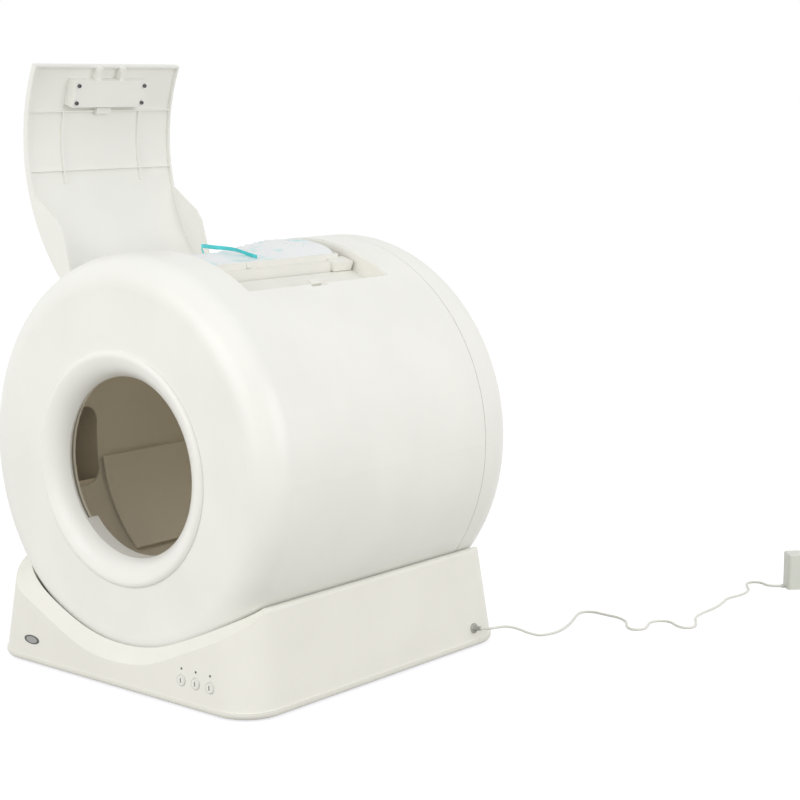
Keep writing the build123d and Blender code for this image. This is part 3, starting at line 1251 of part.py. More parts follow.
def rounded_path(points):
    """Straight runs joined by arcs as large as the runs allow, and the arcs' radii."""
    spots = [Vector(*p) for p in points]
    radii = []
    for before, here, after in zip(spots, spots[1:], spots[2:]):
        turn = (here - before).get_angle(after - here)
        shorter = min((here - before).length, (after - here).length)
        radii.append(ARC_SHARE * shorter / tan(radians(turn / 2)))
    return FilletPolyline(*spots, radius=radii), radii


def make_tube(name, points, radius):
    path, radii = rounded_path(points)
    tube = sweep(Plane(origin=path @ 0, z_dir=path % 0) * Circle(radius), path=path)
    share = tube.volume / (pi * radius**2 * path.length)
    print(name, "length", round(path.length, 1), "volume over section times length", round(share, 4))
    print(name, "arc radii", [round(r, 1) for r in radii])
    return tube


def make_wiring_loom():
    """Wires along the tray floor, under the cradle, from the control board to the motor's terminals."""
    low = TRAY_FLOOR + LOOM_R
    start_x = CONTROL_BOARD_X + CONTROL_BOARD[0] / 2
    start_z = CONTROL_BOARD_Z + BOARD_WALL / 2 + CONNECTOR_SIDE / 2
    end_x = MOTOR_X - TERMINAL_SIZE[0] / 2
    end_y = motor_face() + GEARBOX_LENGTH + MOTOR_LENGTH + TERMINAL_SIZE[1] / 2
    lead = 4 * LOOM_R
    x0 = start_x + lead
    x1 = end_x - 3 * lead
    cell_end = BASE_WIDTH / 2 - FOOT_INSET + FOOT_STEM_R - CELL_LENGTH
    pass_x = cell_end - LOOM_PASS
    points = [(start_x, CONNECTOR_Y, start_z), (x0, CONNECTOR_Y, start_z)]
    points.append((x0 + 2 * lead, CONNECTOR_Y + LOOM_R, (start_z + low) / 2))
    for share_x, share_y in LOOM_SHARES:
        points.append((x0 + share_x * (pass_x - x0), CONNECTOR_Y + share_y * (end_y - CONNECTOR_Y), low))
    points.append((cell_end + 2 * LOOM_R, end_y - LOOM_R, low + LOOM_R))
    points.append((x1, end_y, (low + MOTOR_Z) / 2))
    points += [(end_x - lead, end_y, MOTOR_Z), (end_x, end_y, MOTOR_Z)]
    return make_tube("wiring loom", points, LOOM_R)


def gland_place():
    """Place of the cord's gland: origin at its tip, local Z square out of the side wall."""
    return Location((GLAND_TIP_X, CORD_EXIT_Y, CORD_EXIT_Z), (0, 90 - SIDE_SLOPE, 0))


def make_cord_gland():
    """Bush in the side wall, flanged outside, tapering to the cord."""
    wall_x = BASE_WIDTH / 2 - BASE_SIDE_DRAFT * CORD_EXIT_Z / BASE_TOP
    reach = (GLAND_TIP_X - wall_x) * cos(radians(SIDE_SLOPE))
    bush = Pos(0, 0, -reach - BASE_WALL) * Cylinder(GLAND_R, 2 * BASE_WALL)
    bush += Pos(0, 0, GLAND_FLANGE / 2 - reach) * Cylinder(GLAND_FLANGE_R, GLAND_FLANGE)
    bush += Pos(0, 0, -reach / 2) * Cone(GLAND_R, CORD_R * GLAND_TIP_SHARE, reach)
    return gland_place() * bush


def adapter_place():
    """Place of the adapter: origin at the cord's end, local X along the cord, into the adapter."""
    return Location(CORD_ROUTE[-1], (0, 0, ADAPTER_TURN))


def make_adapter():
    length, depth, height = ADAPTER_SIZE
    low = -CORD_ROUTE[-1][2]
    body = box(ADAPTER_BUSH_LENGTH, ADAPTER_BUSH_LENGTH + length, -depth / 2, depth / 2, low, low + height)
    body = fillet(body.edges().filter_by(Axis.Z), ADAPTER_ROUND)
    body = chamfer(body.faces().sort_by(Axis.Z)[-1].edges(), ADAPTER_ROUND / 3)
    bush = Pos(ADAPTER_BUSH_LENGTH / 2, 0, 0) * Rot(0, 90, 0) * Cylinder(ADAPTER_BUSH_R, ADAPTER_BUSH_LENGTH)
    return adapter_place() * (body + bush)


def make_prongs():
    """Flat blades on the face away from the cord."""
    start = ADAPTER_BUSH_LENGTH + ADAPTER_SIZE[0]
    middle = ADAPTER_SIZE[2] / 2 - CORD_ROUTE[-1][2]
    length, thick, height = PRONG_SIZE
    blades = []
    for side in (-1, 1):
        y = side * PRONG_PITCH / 2
        blade = box(
            start, start + length, y - thick / 2, y + thick / 2, middle - height / 2, middle + height / 2
        )
        blades.append(adapter_place() * blade)
    return blades


def all_nodes():
    skin = make_drum_skin()
    nodes = {
        "base_tray": make_base_tray(),
        "base_cover": make_base_cover(),
        "rubber_feet": make_feet(),
        "load_cells": make_load_cells(),
        "base_screws": make_base_screws(),
        "shaft_brackets": make_brackets(1, BRACKET_Y, SHAFT_R + SHAFT_GAP),
        "axle_brackets": make_brackets(-1, BRACKET_Y, SHAFT_R),
        "idler_axle": make_shaft(-1, SHAFT_FRONT, SHAFT_REAR),
        "gear_motor": make_gear_motor(),
        "motor_bracket": make_motor_bracket(),
        "motor_screws": make_motor_screws(),
        "control_board": make_control_board(),
        "button_board": make_button_board(),
        "light_guides": make_light_guides(),
        "badge_plate": make_badge(),
        "drum_sensor": make_drum_sensor(),
        "wiring_loom": make_wiring_loom(),
        "cord_gland": make_cord_gland(),
        "power_cord": make_tube("power cord", CORD_ROUTE, CORD_R),
        "power_adapter": make_adapter(),
        "adapter_prongs": make_prongs(),
        "drive_shaft": make_shaft(1, SHAFT_FRONT, SHAFT_REAR),
        "drive_wheels": make_wheels(1, SHAFT_R),
        "drive_tyres": make_tyres(1),
        "drive_gear": make_drive_gear(),
        "motor_pinion": make_pinion(),
        "idler_wheels": make_wheels(-1, SHAFT_R + SHAFT_GAP),
        "idler_tyres": make_tyres(-1),
        "drum_shell": make_drum_shell(skin),
        "rear_cover": make_rear_cover(skin),
        "rear_cover_screws": make_rear_cover_screws(),
        "entry_ring": make_entry_ring(),
        "litter_lip": make_litter_lip(),
        "upper_liner": make_liner(True),
        "lower_liner": make_liner(False),
        "sieve_scoop": make_sieve_scoop(),
        "waste_chute": make_waste_chute(),
        "bin_frame": make_bin_frame(),
        "hinge_pin": make_hinge_pin(),
        "latch_striker": make_latch_striker(),
        "home_magnet": make_home_magnet(),
        "lid_panel": make_lid_panel(),
        "latch_cover": make_latch_cover(),
        "latch_cover_screws": make_latch_cover_screws(),
        "latch_bolt": make_latch_bolt(),
        "waste_bin": make_waste_bin(),
        "waste_bag": make_waste_bag(),
        "bag_drawstring": make_drawstring(),
    }
    for i, x in enumerate(BUTTON_X, start=1):
        nodes[f"button_{i}"] = make_button(x)
    return nodes


os.makedirs("parts", exist_ok=True)
for node, shape in all_nodes().items():
    pieces = shape if isinstance(shape, list) else [shape]
    solids = [solid for piece in pieces for solid in piece.solids()]
    export_step(solids[0] if len(solids) == 1 else Compound(solids), f"parts/{node}.step")
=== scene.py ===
import json
from math import cos, pi, sin, sqrt

import bmesh
import bpy
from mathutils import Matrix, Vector, noise


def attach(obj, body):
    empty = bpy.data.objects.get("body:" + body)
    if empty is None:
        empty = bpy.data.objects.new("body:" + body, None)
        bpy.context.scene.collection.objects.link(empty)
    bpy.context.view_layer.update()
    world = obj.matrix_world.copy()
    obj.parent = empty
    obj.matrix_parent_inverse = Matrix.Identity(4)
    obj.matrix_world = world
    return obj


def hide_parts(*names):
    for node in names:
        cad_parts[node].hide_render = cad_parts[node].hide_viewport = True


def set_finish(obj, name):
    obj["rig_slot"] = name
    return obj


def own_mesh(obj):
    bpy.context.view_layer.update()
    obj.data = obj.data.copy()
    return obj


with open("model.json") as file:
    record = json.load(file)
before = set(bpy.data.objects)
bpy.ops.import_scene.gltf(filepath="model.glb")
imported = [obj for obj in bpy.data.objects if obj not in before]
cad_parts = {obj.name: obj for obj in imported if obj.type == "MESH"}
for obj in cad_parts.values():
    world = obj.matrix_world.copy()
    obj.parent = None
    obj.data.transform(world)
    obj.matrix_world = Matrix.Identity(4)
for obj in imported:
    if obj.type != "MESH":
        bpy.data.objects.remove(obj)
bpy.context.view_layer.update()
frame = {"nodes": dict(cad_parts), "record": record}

scene = bpy.context.scene
nodes = frame["nodes"]

# Lengths are in metres, apart from the two routes. A box is its left, right, front and rear side.
MM_PER_M = 1000

# camera
LENS_MM = 87.768
SENSOR_MM = 36.0
CAMERA_PLACE = (1.86698, -1.89284, 0.78365)
CAMERA_AIM = (0.13955, 0.15673, 0.34442)

# drum axis, liner axis, and the bin's collar, walls and curved floor
AXIS_Z = 0.295
LINER_Z = 0.288
COLLAR_R = 0.262
COLLAR_INNER = (-0.1490, 0.0664, -0.1280, 0.1050)
BIN_INNER = (-0.1580, 0.0754, -0.1370, 0.1140)
BIN_FLOOR_R = 0.2094

# first button, the ring and bar on each cap, and the badge
BUTTON_X = 0.1288
BUTTON_PITCH = 0.0256
BUTTON_Z = 0.0375
MARK_RING_R = 0.0064
MARK_RING_HALF = 0.0005
MARK_RING_STRENGTH = 0.35
MARK_BAR_HALF = (0.0011, 0.0031)
BADGE_X = -0.163
BADGE_Z = 0.0355
BADGE_HALF = (0.015, 0.006)

# centre line of the lead in millimetres, from the gland to the adapter
CORD_R = 0.00175
CORD_ROUTE = (
    (259, 190, 30.5), (271, 190, 32.2206), (278, 198.5, 33.2), (279, 220, 31), (280, 245, 23),
    (282, 268, 11.5), (286, 289, 3.5), (291, 309, 2), (293, 331, 2), (288, 354, 2), (277, 386, 2),
    (264, 414, 2), (257, 436, 2), (271, 449, 2), (293, 446, 2), (318, 447, 2), (340, 434, 2),
    (353, 413, 2), (368, 403.5, 2), (381, 416.5, 2), (375, 436, 2), (366, 454, 2), (372, 471, 2),
    (388, 477, 2), (405, 464, 2), (421, 459.5, 2), (431.5, 473, 2), (421, 494, 2), (404, 518, 2),
    (398, 548, 2), (399, 580, 2), (393, 614, 2), (383, 646, 2), (391, 676, 2), (386, 708, 2),
    (369, 727, 2), (360.5, 742.5, 2), (363.5, 756.2, 2), (377, 761, 2), (389, 752, 2),
    (403.5, 750.7, 3), (412.2, 759.7, 3),
)

# bag film, as rings of points: tucked inside the collar, over the collar's opening to the mouth,
# back under it, down the bin's walls and in over its floor
RING_POINTS = 320
QUARTER_STEPS = 12
RIM_GAP = 0.0006
RIM_CORNER = 0.004
LINING_GAP = 0.0009
LINING_CORNER = 0.005
BAG_MOUTH = (-0.1260, -0.0350, 0.0055, 0.0930)
MOUTH_CORNER = 0.034
TUCK_DROPS = (0.009, 0.005, 0.0015)
COVER_SHARES = (
    0.03, 0.07, 0.12, 0.18, 0.24, 0.30, 0.36, 0.42, 0.48, 0.54, 0.60, 0.66, 0.72, 0.78,
    0.83, 0.88, 0.92, 0.95, 0.975, 1.0,
)
# share of the way from the lining to the mouth, and drop below the collar's arc
THROAT_STEPS = (
    (1.03, 0.0015), (1.04, 0.005), (1.0, 0.010), (0.94, 0.015), (0.80, 0.019),
    (0.6, 0.021), (0.4, 0.022), (0.2, 0.022),
)
WALL_SHARES = (0.0, 0.15, 0.35, 0.55, 0.75, 0.9, 1.0)
WALL_DROP = 0.023
FLOOR_SHARES = (0.12, 0.3, 0.5, 0.7, 0.86, 0.96)

# how the film folds, gathers in a lip at its mouth, swells to the rear and sinks to the left;
# PUFF_REAR and PUFF_LEFT say where a slope starts and how far it runs, the first in shares of the
# collar's depth
FOLD_DEPTH = 0.0015
LIP_RISE = 0.0018
LIP_POWER = 8
PUFF_RISE = 0.0108
PUFF_SINK = 0.0045
PUFF_REAR = (0.4, 0.5)
PUFF_LEFT_DROP = 0.005
PUFF_LEFT = (0.05, 0.08)
PUFF_EDGE = 0.25
THROAT_WOBBLE = 0.001
WALL_PULL = 0.0007
WALL_SWAY = 0.0006
FLOOR_RISE = 0.0008

# crumpled film: depth, noise scale and level of its soft swells, its creases and its fine wrinkles
CRUMPLE_LIFT = 0.0004
CRUMPLE_EDGE = 0.6
CRUMPLE_SLICE = 0.31
SWELL_DEPTH = 0.0022
SWELL_SCALE = 21.0
CREASE_DEPTH = 0.0020
CREASE_SCALE = 47.0
CREASE_LEVEL = 0.45
CREASE_SHIFT = (3.1, 0, 0)
WRINKLE_DEPTH = 0.0011
WRINKLE_SCALE = 105.0
WRINKLE_LEVEL = 0.4

# centre line of the drawstring in millimetres, and its section in shares of width and wall
TAPE_ROUTE = (
    (-74, -10, 546), (-71, -16, 553.5), (-64, -24, 559), (-54, -28, 560.2), (-40, -30, 560),
    (-22, -30, 559.8), (-3, -30, 559.4), (10, -30, 558.4), (23, -30, 556), (35, -30, 553.6),
    (47.5, -30, 551.4),
)
TAPE_STEPS = 8
TAPE_WIDTH = 0.0056
TAPE_WALL = 0.0007
TAPE_LEAN = 1.35
TAPE_TWIST = 0.2
TAPE_SECTION = (
    (-0.5, -0.35), (-0.46, -0.5), (0, -0.42), (0.46, -0.5), (0.5, -0.35),
    (0.5, 0.35), (0.46, 0.5), (0, 0.58), (-0.46, 0.5), (-0.5, 0.35),
)

# studio: floor, its glow where the backdrop is seen, the soft light all round, and two lamps
FLOOR_HALF = 9
FLOOR_COLOUR = (0.45, 0.44, 0.41, 1)
GLOW_COLOUR = (0.94, 0.95, 1.0, 1)
GLOW_STRENGTH = 0.74
SOFT_COLOUR = (1.0, 0.995, 0.985, 1)
SOFT_STRENGTH = 0.73
WHITE = (1, 1, 1, 1)
LAMP_AIM = (0.0, 0.0, 0.3)
# name, place, size and power in watts
LAMPS = (
    ("key", (-0.1, -2.65, 1.3), (2.2, 1.8), 30),
    ("side", (2.75, 0.5, 1.25), (2.0, 1.6), 25),
)

# sockets of a colour Mix node, which also has sockets for numbers and vectors
MIX_FACTOR = 0
MIX_FIRST = 6
MIX_SECOND = 7
MIX_RESULT = 2


def link(obj):
    scene.collection.objects.link(obj)
    return obj


def mesh_piece(name, verts, faces):
    """A smooth shaded piece with its normals facing out."""
    mesh = bpy.data.meshes.new(name)
    mesh.from_pydata(verts, [], faces)
    bm = bmesh.new()
    bm.from_mesh(mesh)
    bmesh.ops.recalc_face_normals(bm, faces=bm.faces)
    bm.to_mesh(mesh)
    bm.free()
    for face in mesh.polygons:
        face.use_smooth = True
    return link(bpy.data.objects.new(name, mesh))


def facing(place, aim):
    """Turn of a camera or lamp that looks from one point at another."""
    return (Vector(aim) - Vector(place)).to_track_quat("-Z", "Y").to_euler()


def add_camera():
    data = bpy.data.cameras.new("camera")
    data.lens = LENS_MM
    data.sensor_width = SENSOR_MM
    camera = link(bpy.data.objects.new("camera", data))
    camera.location = CAMERA_PLACE
    camera.rotation_euler = facing(CAMERA_PLACE, CAMERA_AIM)
    scene.camera = camera


def add_cord():
    """Lead: a round curve whose points carry its radius."""
    curve = bpy.data.curves.new("lead", "CURVE")
    curve.dimensions = "3D"
    spline = curve.splines.new("NURBS")
    spline.points.add(len(CORD_ROUTE) - 1)
    for point, (x, y, z) in zip(spline.points, CORD_ROUTE):
        point.co = (x / MM_PER_M, y / MM_PER_M, z / MM_PER_M, 1.0)
        point.radius = CORD_R
    spline.order_u = 3
    spline.use_endpoint_u = True
    spline.resolution_u = 8
    curve.bevel_depth = 1.0
    curve.bevel_resolution = 4
    curve.use_fill_caps = True
    lead = link(bpy.data.objects.new("lead", curve))
    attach(lead, "base")
    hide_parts("power_cord")
    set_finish(lead, "cord_white")
    return lead


def linear(r, g, b):
    """Scene colour of an sRGB colour from 0 to 255."""
    def one(v):
        v /= 255
        return v / 12.92 if v <= 0.04045 else ((v + 0.055) / 1.055) ** 2.4

    return one(r), one(g), one(b), 1.0


def darker(colour, share):
    return tuple(v * share for v in colour[:3]) + (1.0,)


class Surface:
    """A Principled material whose colour, roughness and relief come from textures in metres."""

    def __init__(self, name):
        self.material = bpy.data.materials.new(name)
        self.material.use_nodes = True
        self.tree = self.material.node_tree
        self.bsdf = self.tree.nodes["Principled BSDF"]
        self.coord = self.tree.nodes.new("ShaderNodeTexCoord").outputs["Object"]
        self.relief = None

    def new(self, kind, **values):
        node = self.tree.nodes.new(kind)
        for key, value in values.items():
            setattr(node, key, value)
        return node

    def join(self, out, into):
        self.tree.links.new(out, into)

    def stretched(self, scale):
        mapping = self.new("ShaderNodeMapping")
        mapping.inputs["Scale"].default_value = scale
        self.join(self.coord, mapping.inputs["Vector"])
        return mapping.outputs["Vector"]

    def noise(self, scale, detail=2.0, stretch=None):
        node = self.new("ShaderNodeTexNoise")
        node.inputs["Scale"].default_value = scale
        node.inputs["Detail"].default_value = detail
        self.join(self.stretched(stretch) if stretch else self.coord, node.inputs["Vector"])
        return node.outputs["Fac"]

    def colour(self, factor, first, second, low=0.35, high=0.65):
        ramp = self.new("ShaderNodeValToRGB")
        ramp.color_ramp.elements[0].position = low
        ramp.color_ramp.elements[1].position = high
        ramp.color_ramp.elements[0].color = first
        ramp.color_ramp.elements[1].color = second
        self.join(factor, ramp.inputs["Fac"])
        return ramp.outputs["Color"]

    def clouds(self, rgb, shade, scale, detail=3):
        """A colour with darker patches in it."""
        colour = linear(*rgb)
        return self.colour(self.noise(scale, detail), darker(colour, shade), colour)

    def paint(self, colour):
        self.join(colour, self.bsdf.inputs["Base Color"])

    def roughness(self, factor, low, high):
        span = self.new("ShaderNodeMapRange")
        span.inputs["To Min"].default_value = low
        span.inputs["To Max"].default_value = high
        self.join(factor, span.inputs["Value"])
        self.join(span.outputs["Result"], self.bsdf.inputs["Roughness"])

    def bump(self, height, strength, distance):
        """Adds relief on top of the relief that is there."""
        node = self.new("ShaderNodeBump")
        node.inputs["Strength"].default_value = strength
        node.inputs["Distance"].default_value = distance
        self.join(height, node.inputs["Height"])
        if self.relief:
            self.join(self.relief, node.inputs["Normal"])
        self.relief = node.outputs["Normal"]
        self.join(self.relief, self.bsdf.inputs["Normal"])

    def brushed(self, low, high, stretch):
        """Fine marks along one direction, in the roughness and the relief."""
        self.roughness(self.noise(1.0, stretch=stretch), low, high)
        self.bump(self.noise(1.0, detail=1, stretch=stretch), strength=0.3, distance=0.00003)

    def math(self, operation, *values):
        node = self.new("ShaderNodeMath", operation=operation)
        for socket, value in zip(node.inputs, values):
            if isinstance(value, (int, float)):
                socket.default_value = value
            else:
                self.join(value, socket)
        return node.outputs["Value"]

    def offset(self, x, z):
        """Distances from a point of the base's front, to the right and up."""
        split = self.new("ShaderNodeSeparateXYZ")
        self.join(self.coord, split.inputs["Vector"])
        right = self.math("SUBTRACT", split.outputs["X"], x)
        up = self.math("SUBTRACT", split.outputs["Z"], z)
        return right, up

    def length(self, u, v):
        squares = self.math("ADD", self.math("MULTIPLY", u, u), self.math("MULTIPLY", v, v))
        return self.math("SQRT", squares)

    def set(self, **values):
        for key, value in values.items():
            self.bsdf.inputs[key.replace("_", " ")].default_value = value


def plastic(name, rgb, rough, grain=1500, depth=0.00004, shade=0.965, wave=0.0):
    """Moulded plastic: faint clouds, a fine eroded grain and, where asked, a slight sink wave."""
    s = Surface(name)
    s.paint(s.clouds(rgb, shade, scale=9))
    s.roughness(s.noise(scale=60), low=rough - 0.06, high=rough + 0.06)
    if wave:
        s.bump(s.noise(scale=16, detail=1), strength=0.35, distance=wave)
    s.bump(s.noise(scale=grain), strength=0.5, distance=depth)
    return s.material


def rubber(name, rgb, rough=0.75):
    """Matt rubber, blotched and slightly pitted."""
    s = Surface(name)
    s.paint(s.clouds(rgb, shade=0.75, scale=140, detail=4))
    s.roughness(s.noise(scale=90, detail=3), low=rough - 0.1, high=rough + 0.1)
    s.bump(s.noise(scale=700, detail=3), strength=0.6, distance=0.0001)
    s.set(Specular_IOR_Level=0.3)
    return s.material


def metal(name, rgb, rough, stretch=(30, 900, 900)):
    """Turned or rolled metal with fine marks along one direction."""
    s = Surface(name)
    s.paint(s.clouds(rgb, shade=0.85, scale=40))
    s.brushed(rough - 0.1, rough + 0.1, stretch)
    s.set(Metallic=1.0)
    return s.material


def circuit(name):
    """Solder mask over copper tracks."""
    s = Surface(name)
    cells = s.new("ShaderNodeTexVoronoi", distance="CHEBYCHEV", feature="F2")
    cells.inputs["Scale"].default_value = 240
    s.join(s.coord, cells.inputs["Vector"])
    tracks = cells.outputs["Distance"]
    s.paint(s.colour(tracks, linear(18, 72, 46), linear(46, 118, 74), low=0.45, high=0.6))
    s.roughness(s.noise(scale=120), low=0.28, high=0.42)
    s.bump(tracks, strength=0.3, distance=0.00005)
    return s.material


def film(name):
    """Thin cloudy bag film with soft tinted areas."""
    s = Surface(name)
    tint = s.noise(scale=30, detail=3)
    s.paint(s.colour(tint, linear(240, 243, 244), linear(188, 234, 234), low=0.56, high=0.70))
    s.roughness(s.noise(scale=80), low=0.22, high=0.4)
    s.bump(s.noise(scale=240, detail=3), strength=0.5, distance=0.0006)
    s.bump(s.noise(scale=900), strength=0.3, distance=0.0001)
    s.set(Alpha=0.94, Specular_IOR_Level=0.5)
    return s.material


def tape_cloth(name, rgb):
    """Flat tape with fine ribs along it."""
    s = Surface(name)
    ribs = s.new("ShaderNodeTexWave", bands_direction="Y")
    ribs.inputs["Scale"].default_value = 330
    ribs.inputs["Distortion"].default_value = 1.5
    s.join(s.coord, ribs.inputs["Vector"])
    s.paint(s.clouds(rgb, shade=0.78, scale=110))
    s.roughness(s.noise(scale=300), low=0.35, high=0.5)
    s.bump(ribs.outputs["Fac"], strength=0.4, distance=0.0002)
    return s.material


def lens(name):
    """Smoky clear plastic of the light guides."""
    s = Surface(name)
    s.paint(s.colour(s.noise(scale=300), linear(112, 110, 102), linear(142, 140, 132)))
    s.roughness(s.noise(scale=500), low=0.1, high=0.2)
    s.set(Transmission_Weight=0.3, IOR=1.49)
    return s.material


def button_plastic(name, rgb):
    """Button plastic with a thin grey ring and a plain bar on each cap."""
    s = Surface(name)
    from_first, v = s.offset(BUTTON_X, BUTTON_Z)
    u = s.math("WRAP", from_first, BUTTON_PITCH / 2, -BUTTON_PITCH / 2)
    in_ring = s.math("COMPARE", s.length(u, v), MARK_RING_R, MARK_RING_HALF)
    ring = s.math("MULTIPLY", in_ring, MARK_RING_STRENGTH)
    across = s.math("COMPARE", u, 0.0, MARK_BAR_HALF[0])
    along = s.math("COMPARE", v, 0.0, MARK_BAR_HALF[1])
    mark = s.math("MAXIMUM", ring, s.math("MULTIPLY", across, along))
    mix = s.new("ShaderNodeMix", data_type="RGBA")
    s.join(mark, mix.inputs[MIX_FACTOR])
    s.join(s.clouds(rgb, shade=0.965, scale=9), mix.inputs[MIX_FIRST])
    mix.inputs[MIX_SECOND].default_value = linear(138, 136, 128)
    s.paint(mix.outputs[MIX_RESULT])
    s.roughness(s.noise(scale=60), low=0.32, high=0.44)
    s.bump(s.noise(scale=1800), strength=0.5, distance=0.00003)
    return s.material


def badge_metal(name):
    """Plain satin plate, darker in a band along its oval edge."""
    s = Surface(name)
    right, up = s.offset(BADGE_X, BADGE_Z)
    out = s.length(s.math("DIVIDE", right, BADGE_HALF[0]), s.math("DIVIDE", up, BADGE_HALF[1]))
    s.paint(s.colour(out, linear(158, 159, 157), linear(84, 85, 84), low=0.68, high=0.8))
    s.brushed(low=0.36, high=0.5, stretch=(40, 900, 900))
    s.set(Metallic=0.3)
    return s.material


# material of each slot of the record: its kind and that kind's values
FINISHES = {
    "shell_white": (plastic, dict(rgb=(241, 241, 236), rough=0.36, wave=0.0003)),
    "base_white": (plastic, dict(rgb=(238, 237, 229), rough=0.44)),
    "lid_white": (plastic, dict(rgb=(240, 240, 235), rough=0.42)),
    "liner_cream": (
        plastic, dict(rgb=(246, 239, 223), rough=0.55, grain=1100, depth=0.00006, shade=0.98)),
    "chute_cream": (
        plastic, dict(rgb=(242, 231, 210), rough=0.6, grain=1100, depth=0.00006, shade=0.97)),
    "bin_white": (plastic, dict(rgb=(236, 235, 228), rough=0.45)),
    "bag_film": (film, dict()),
    "tape_teal": (tape_cloth, dict(rgb=(84, 216, 220))),
    "rubber_dark": (rubber, dict(rgb=(44, 44, 46))),
    # grey rubber; on the cord gland this grey is painted shade, standing in for the shadow inside
    # the cord's hole
    "rubber_grey": (rubber, dict(rgb=(186, 186, 180))),
    "steel": (metal, dict(rgb=(188, 190, 192), rough=0.32)),
    "alloy": (metal, dict(rgb=(205, 207, 208), rough=0.4, stretch=(700, 30, 700))),
    "screw_dark": (metal, dict(rgb=(110, 110, 112), rough=0.38, stretch=(900, 900, 60))),
    "nylon": (plastic, dict(rgb=(226, 222, 208), rough=0.5, grain=900, depth=0.00005, shade=0.95)),
    "circuit_green": (circuit, dict()),
    "button_white": (button_plastic, dict(rgb=(238, 238, 232))),
    "lens_clear": (lens, dict()),
    "badge_grey": (badge_metal, dict()),
    "wire_black": (rubber, dict(rgb=(30, 30, 31), rough=0.5)),
    "cord_white": (
        plastic, dict(rgb=(232, 232, 224), rough=0.45, grain=1300, depth=0.00003, shade=0.95)),
    "adapter_white": (plastic, dict(rgb=(218, 221, 212), rough=0.42, grain=1300, depth=0.00005)),
    "prong_brass": (metal, dict(rgb=(214, 182, 112), rough=0.26)),
}


def dress(obj, material):
    if not obj.material_slots:
        obj.data.materials.append(material)
    for slot in obj.material_slots:
        slot.material = material


def over_drum(x, radius, center=AXIS_Z):
    """Height of an arc about an axis along Y."""
    return center + sqrt(max(radius * radius - x * x, 0.0))


def ramp(value, start, span):
    """Share from 0 to 1 of the span that the value is past its start."""
    return min(1.0, max(0.0, value - start) / span)


def inset(box, gap):
    left, right, front, rear = box
    return left + gap, right - gap, front + gap, rear - gap


def rounded_loop(box, r):
    """Points at equal steps round a rounded rectangle, from the middle of its +X side."""
    x0, x1, y0, y1 = box
    corners = ((x1 - r, y1 - r, 0), (x0 + r, y1 - r, 1), (x0 + r, y0 + r, 2), (x1 - r, y0 + r, 3))
    path = [Vector((x1, (y0 + y1) / 2))]
    for cx, cy, quarter in corners:
        for k in range(QUARTER_STEPS + 1):
            a = (quarter + k / QUARTER_STEPS) * pi / 2
            path.append(Vector((cx + r * cos(a), cy + r * sin(a))))
    path.append(path[0].copy())
    steps = [0.0]
    for a, b in zip(path, path[1:]):
        steps.append(steps[-1] + (b - a).length)
    points = []
    at = 0
    for i in range(RING_POINTS):
        want = steps[-1] * i / RING_POINTS
        while steps[at + 1] < want:
            at += 1
        share = (want - steps[at]) / max(steps[at + 1] - steps[at], 1e-9)
        points.append(path[at].lerp(path[at + 1], share))
    return points


def band_faces(rows, count):
    """Quads between neighbouring rows of points, each row closed on itself."""
    faces = []
    for k in range(rows - 1):
        for i in range(count):
            j = (i + 1) % count
            faces.append((k * count + i, k * count + j, (k + 1) * count + j, (k + 1) * count + i))
    return faces


def cap_face(row, count):
    return tuple(row * count + i for i in range(count))


def folds(i, t):
    """Gathers round the film, deeper towards its mouth: three waves that don't fall in step."""
    turn = 2 * pi * i / RING_POINTS
    gather = (0.5 * sin(23 * turn + 2.1 * t) + 0.3 * sin(37 * turn + 1.3)
              + 0.2 * sin(61 * turn + 0.4))
    return FOLD_DEPTH * t * t * gather


def puff(p, t):
    """Rise of the film above the collar's arc, none at its rim."""
    front, rear = COLLAR_INNER[2:]
    back = ramp((p.y - front) / (rear - front), *PUFF_REAR)
    rise = PUFF_RISE * back * back * (3 - 2 * back) - PUFF_SINK
    rise -= PUFF_LEFT_DROP * ramp(-p.x, *PUFF_LEFT)
    return rise * (1 - (1 - ramp(t, 0.0, PUFF_EDGE)) ** 2)


def crumple(p, t):
    """Soft swells and sharp creases, none at the film's rim and mouth."""
    q = Vector((p.x, p.y, CRUMPLE_SLICE))
    swell = noise.noise(q * SWELL_SCALE)
    crease = CREASE_LEVEL - abs(noise.noise(q * CREASE_SCALE + Vector(CREASE_SHIFT)))
    wrinkle = WRINKLE_LEVEL - abs(noise.noise(q * WRINKLE_SCALE))
    share = sin(pi * t) ** CRUMPLE_EDGE if t < 1 else 0.0
    depth = CRUMPLE_LIFT + SWELL_DEPTH * swell + CREASE_DEPTH * crease + WRINKLE_DEPTH * wrinkle
    return share * depth


def ripple(p, scale, layer):
    """Smooth noise from -1 to 1 over the film."""
    return noise.noise(Vector((p.x * scale, p.y * scale, layer)))


def cover_point(p, i, t):
    lip = LIP_RISE * t**LIP_POWER
    return p.x, p.y, over_drum(p.x, COLLAR_R + puff(p, t) + crumple(p, t) + folds(i, t) + lip)


def throat_point(p, i, t, drop):
    wobble = folds(i, min(t, 1.0)) + THROAT_WOBBLE * ripple(p, scale=60, layer=9.0)
    return p.x, p.y, over_drum(p.x, COLLAR_R) - drop + wobble


def wall_point(p, middle, share):
    top = over_drum(p.x, COLLAR_R) - WALL_DROP
    floor = over_drum(p.x, BIN_FLOOR_R + LINING_GAP, LINER_Z)
    sway = WALL_SWAY * ripple(p, scale=50, layer=share * 4)
    pull = (middle - p).normalized() * (WALL_PULL + sway)
    return p.x + pull.x, p.y + pull.y, top + (floor - top) * share


def floor_point(p):
    lift = LINING_GAP + FLOOR_RISE * (1 + ripple(p, scale=45, layer=2.0))
    return p.x, p.y, over_drum(p.x, BIN_FLOOR_R + lift, LINER_Z)


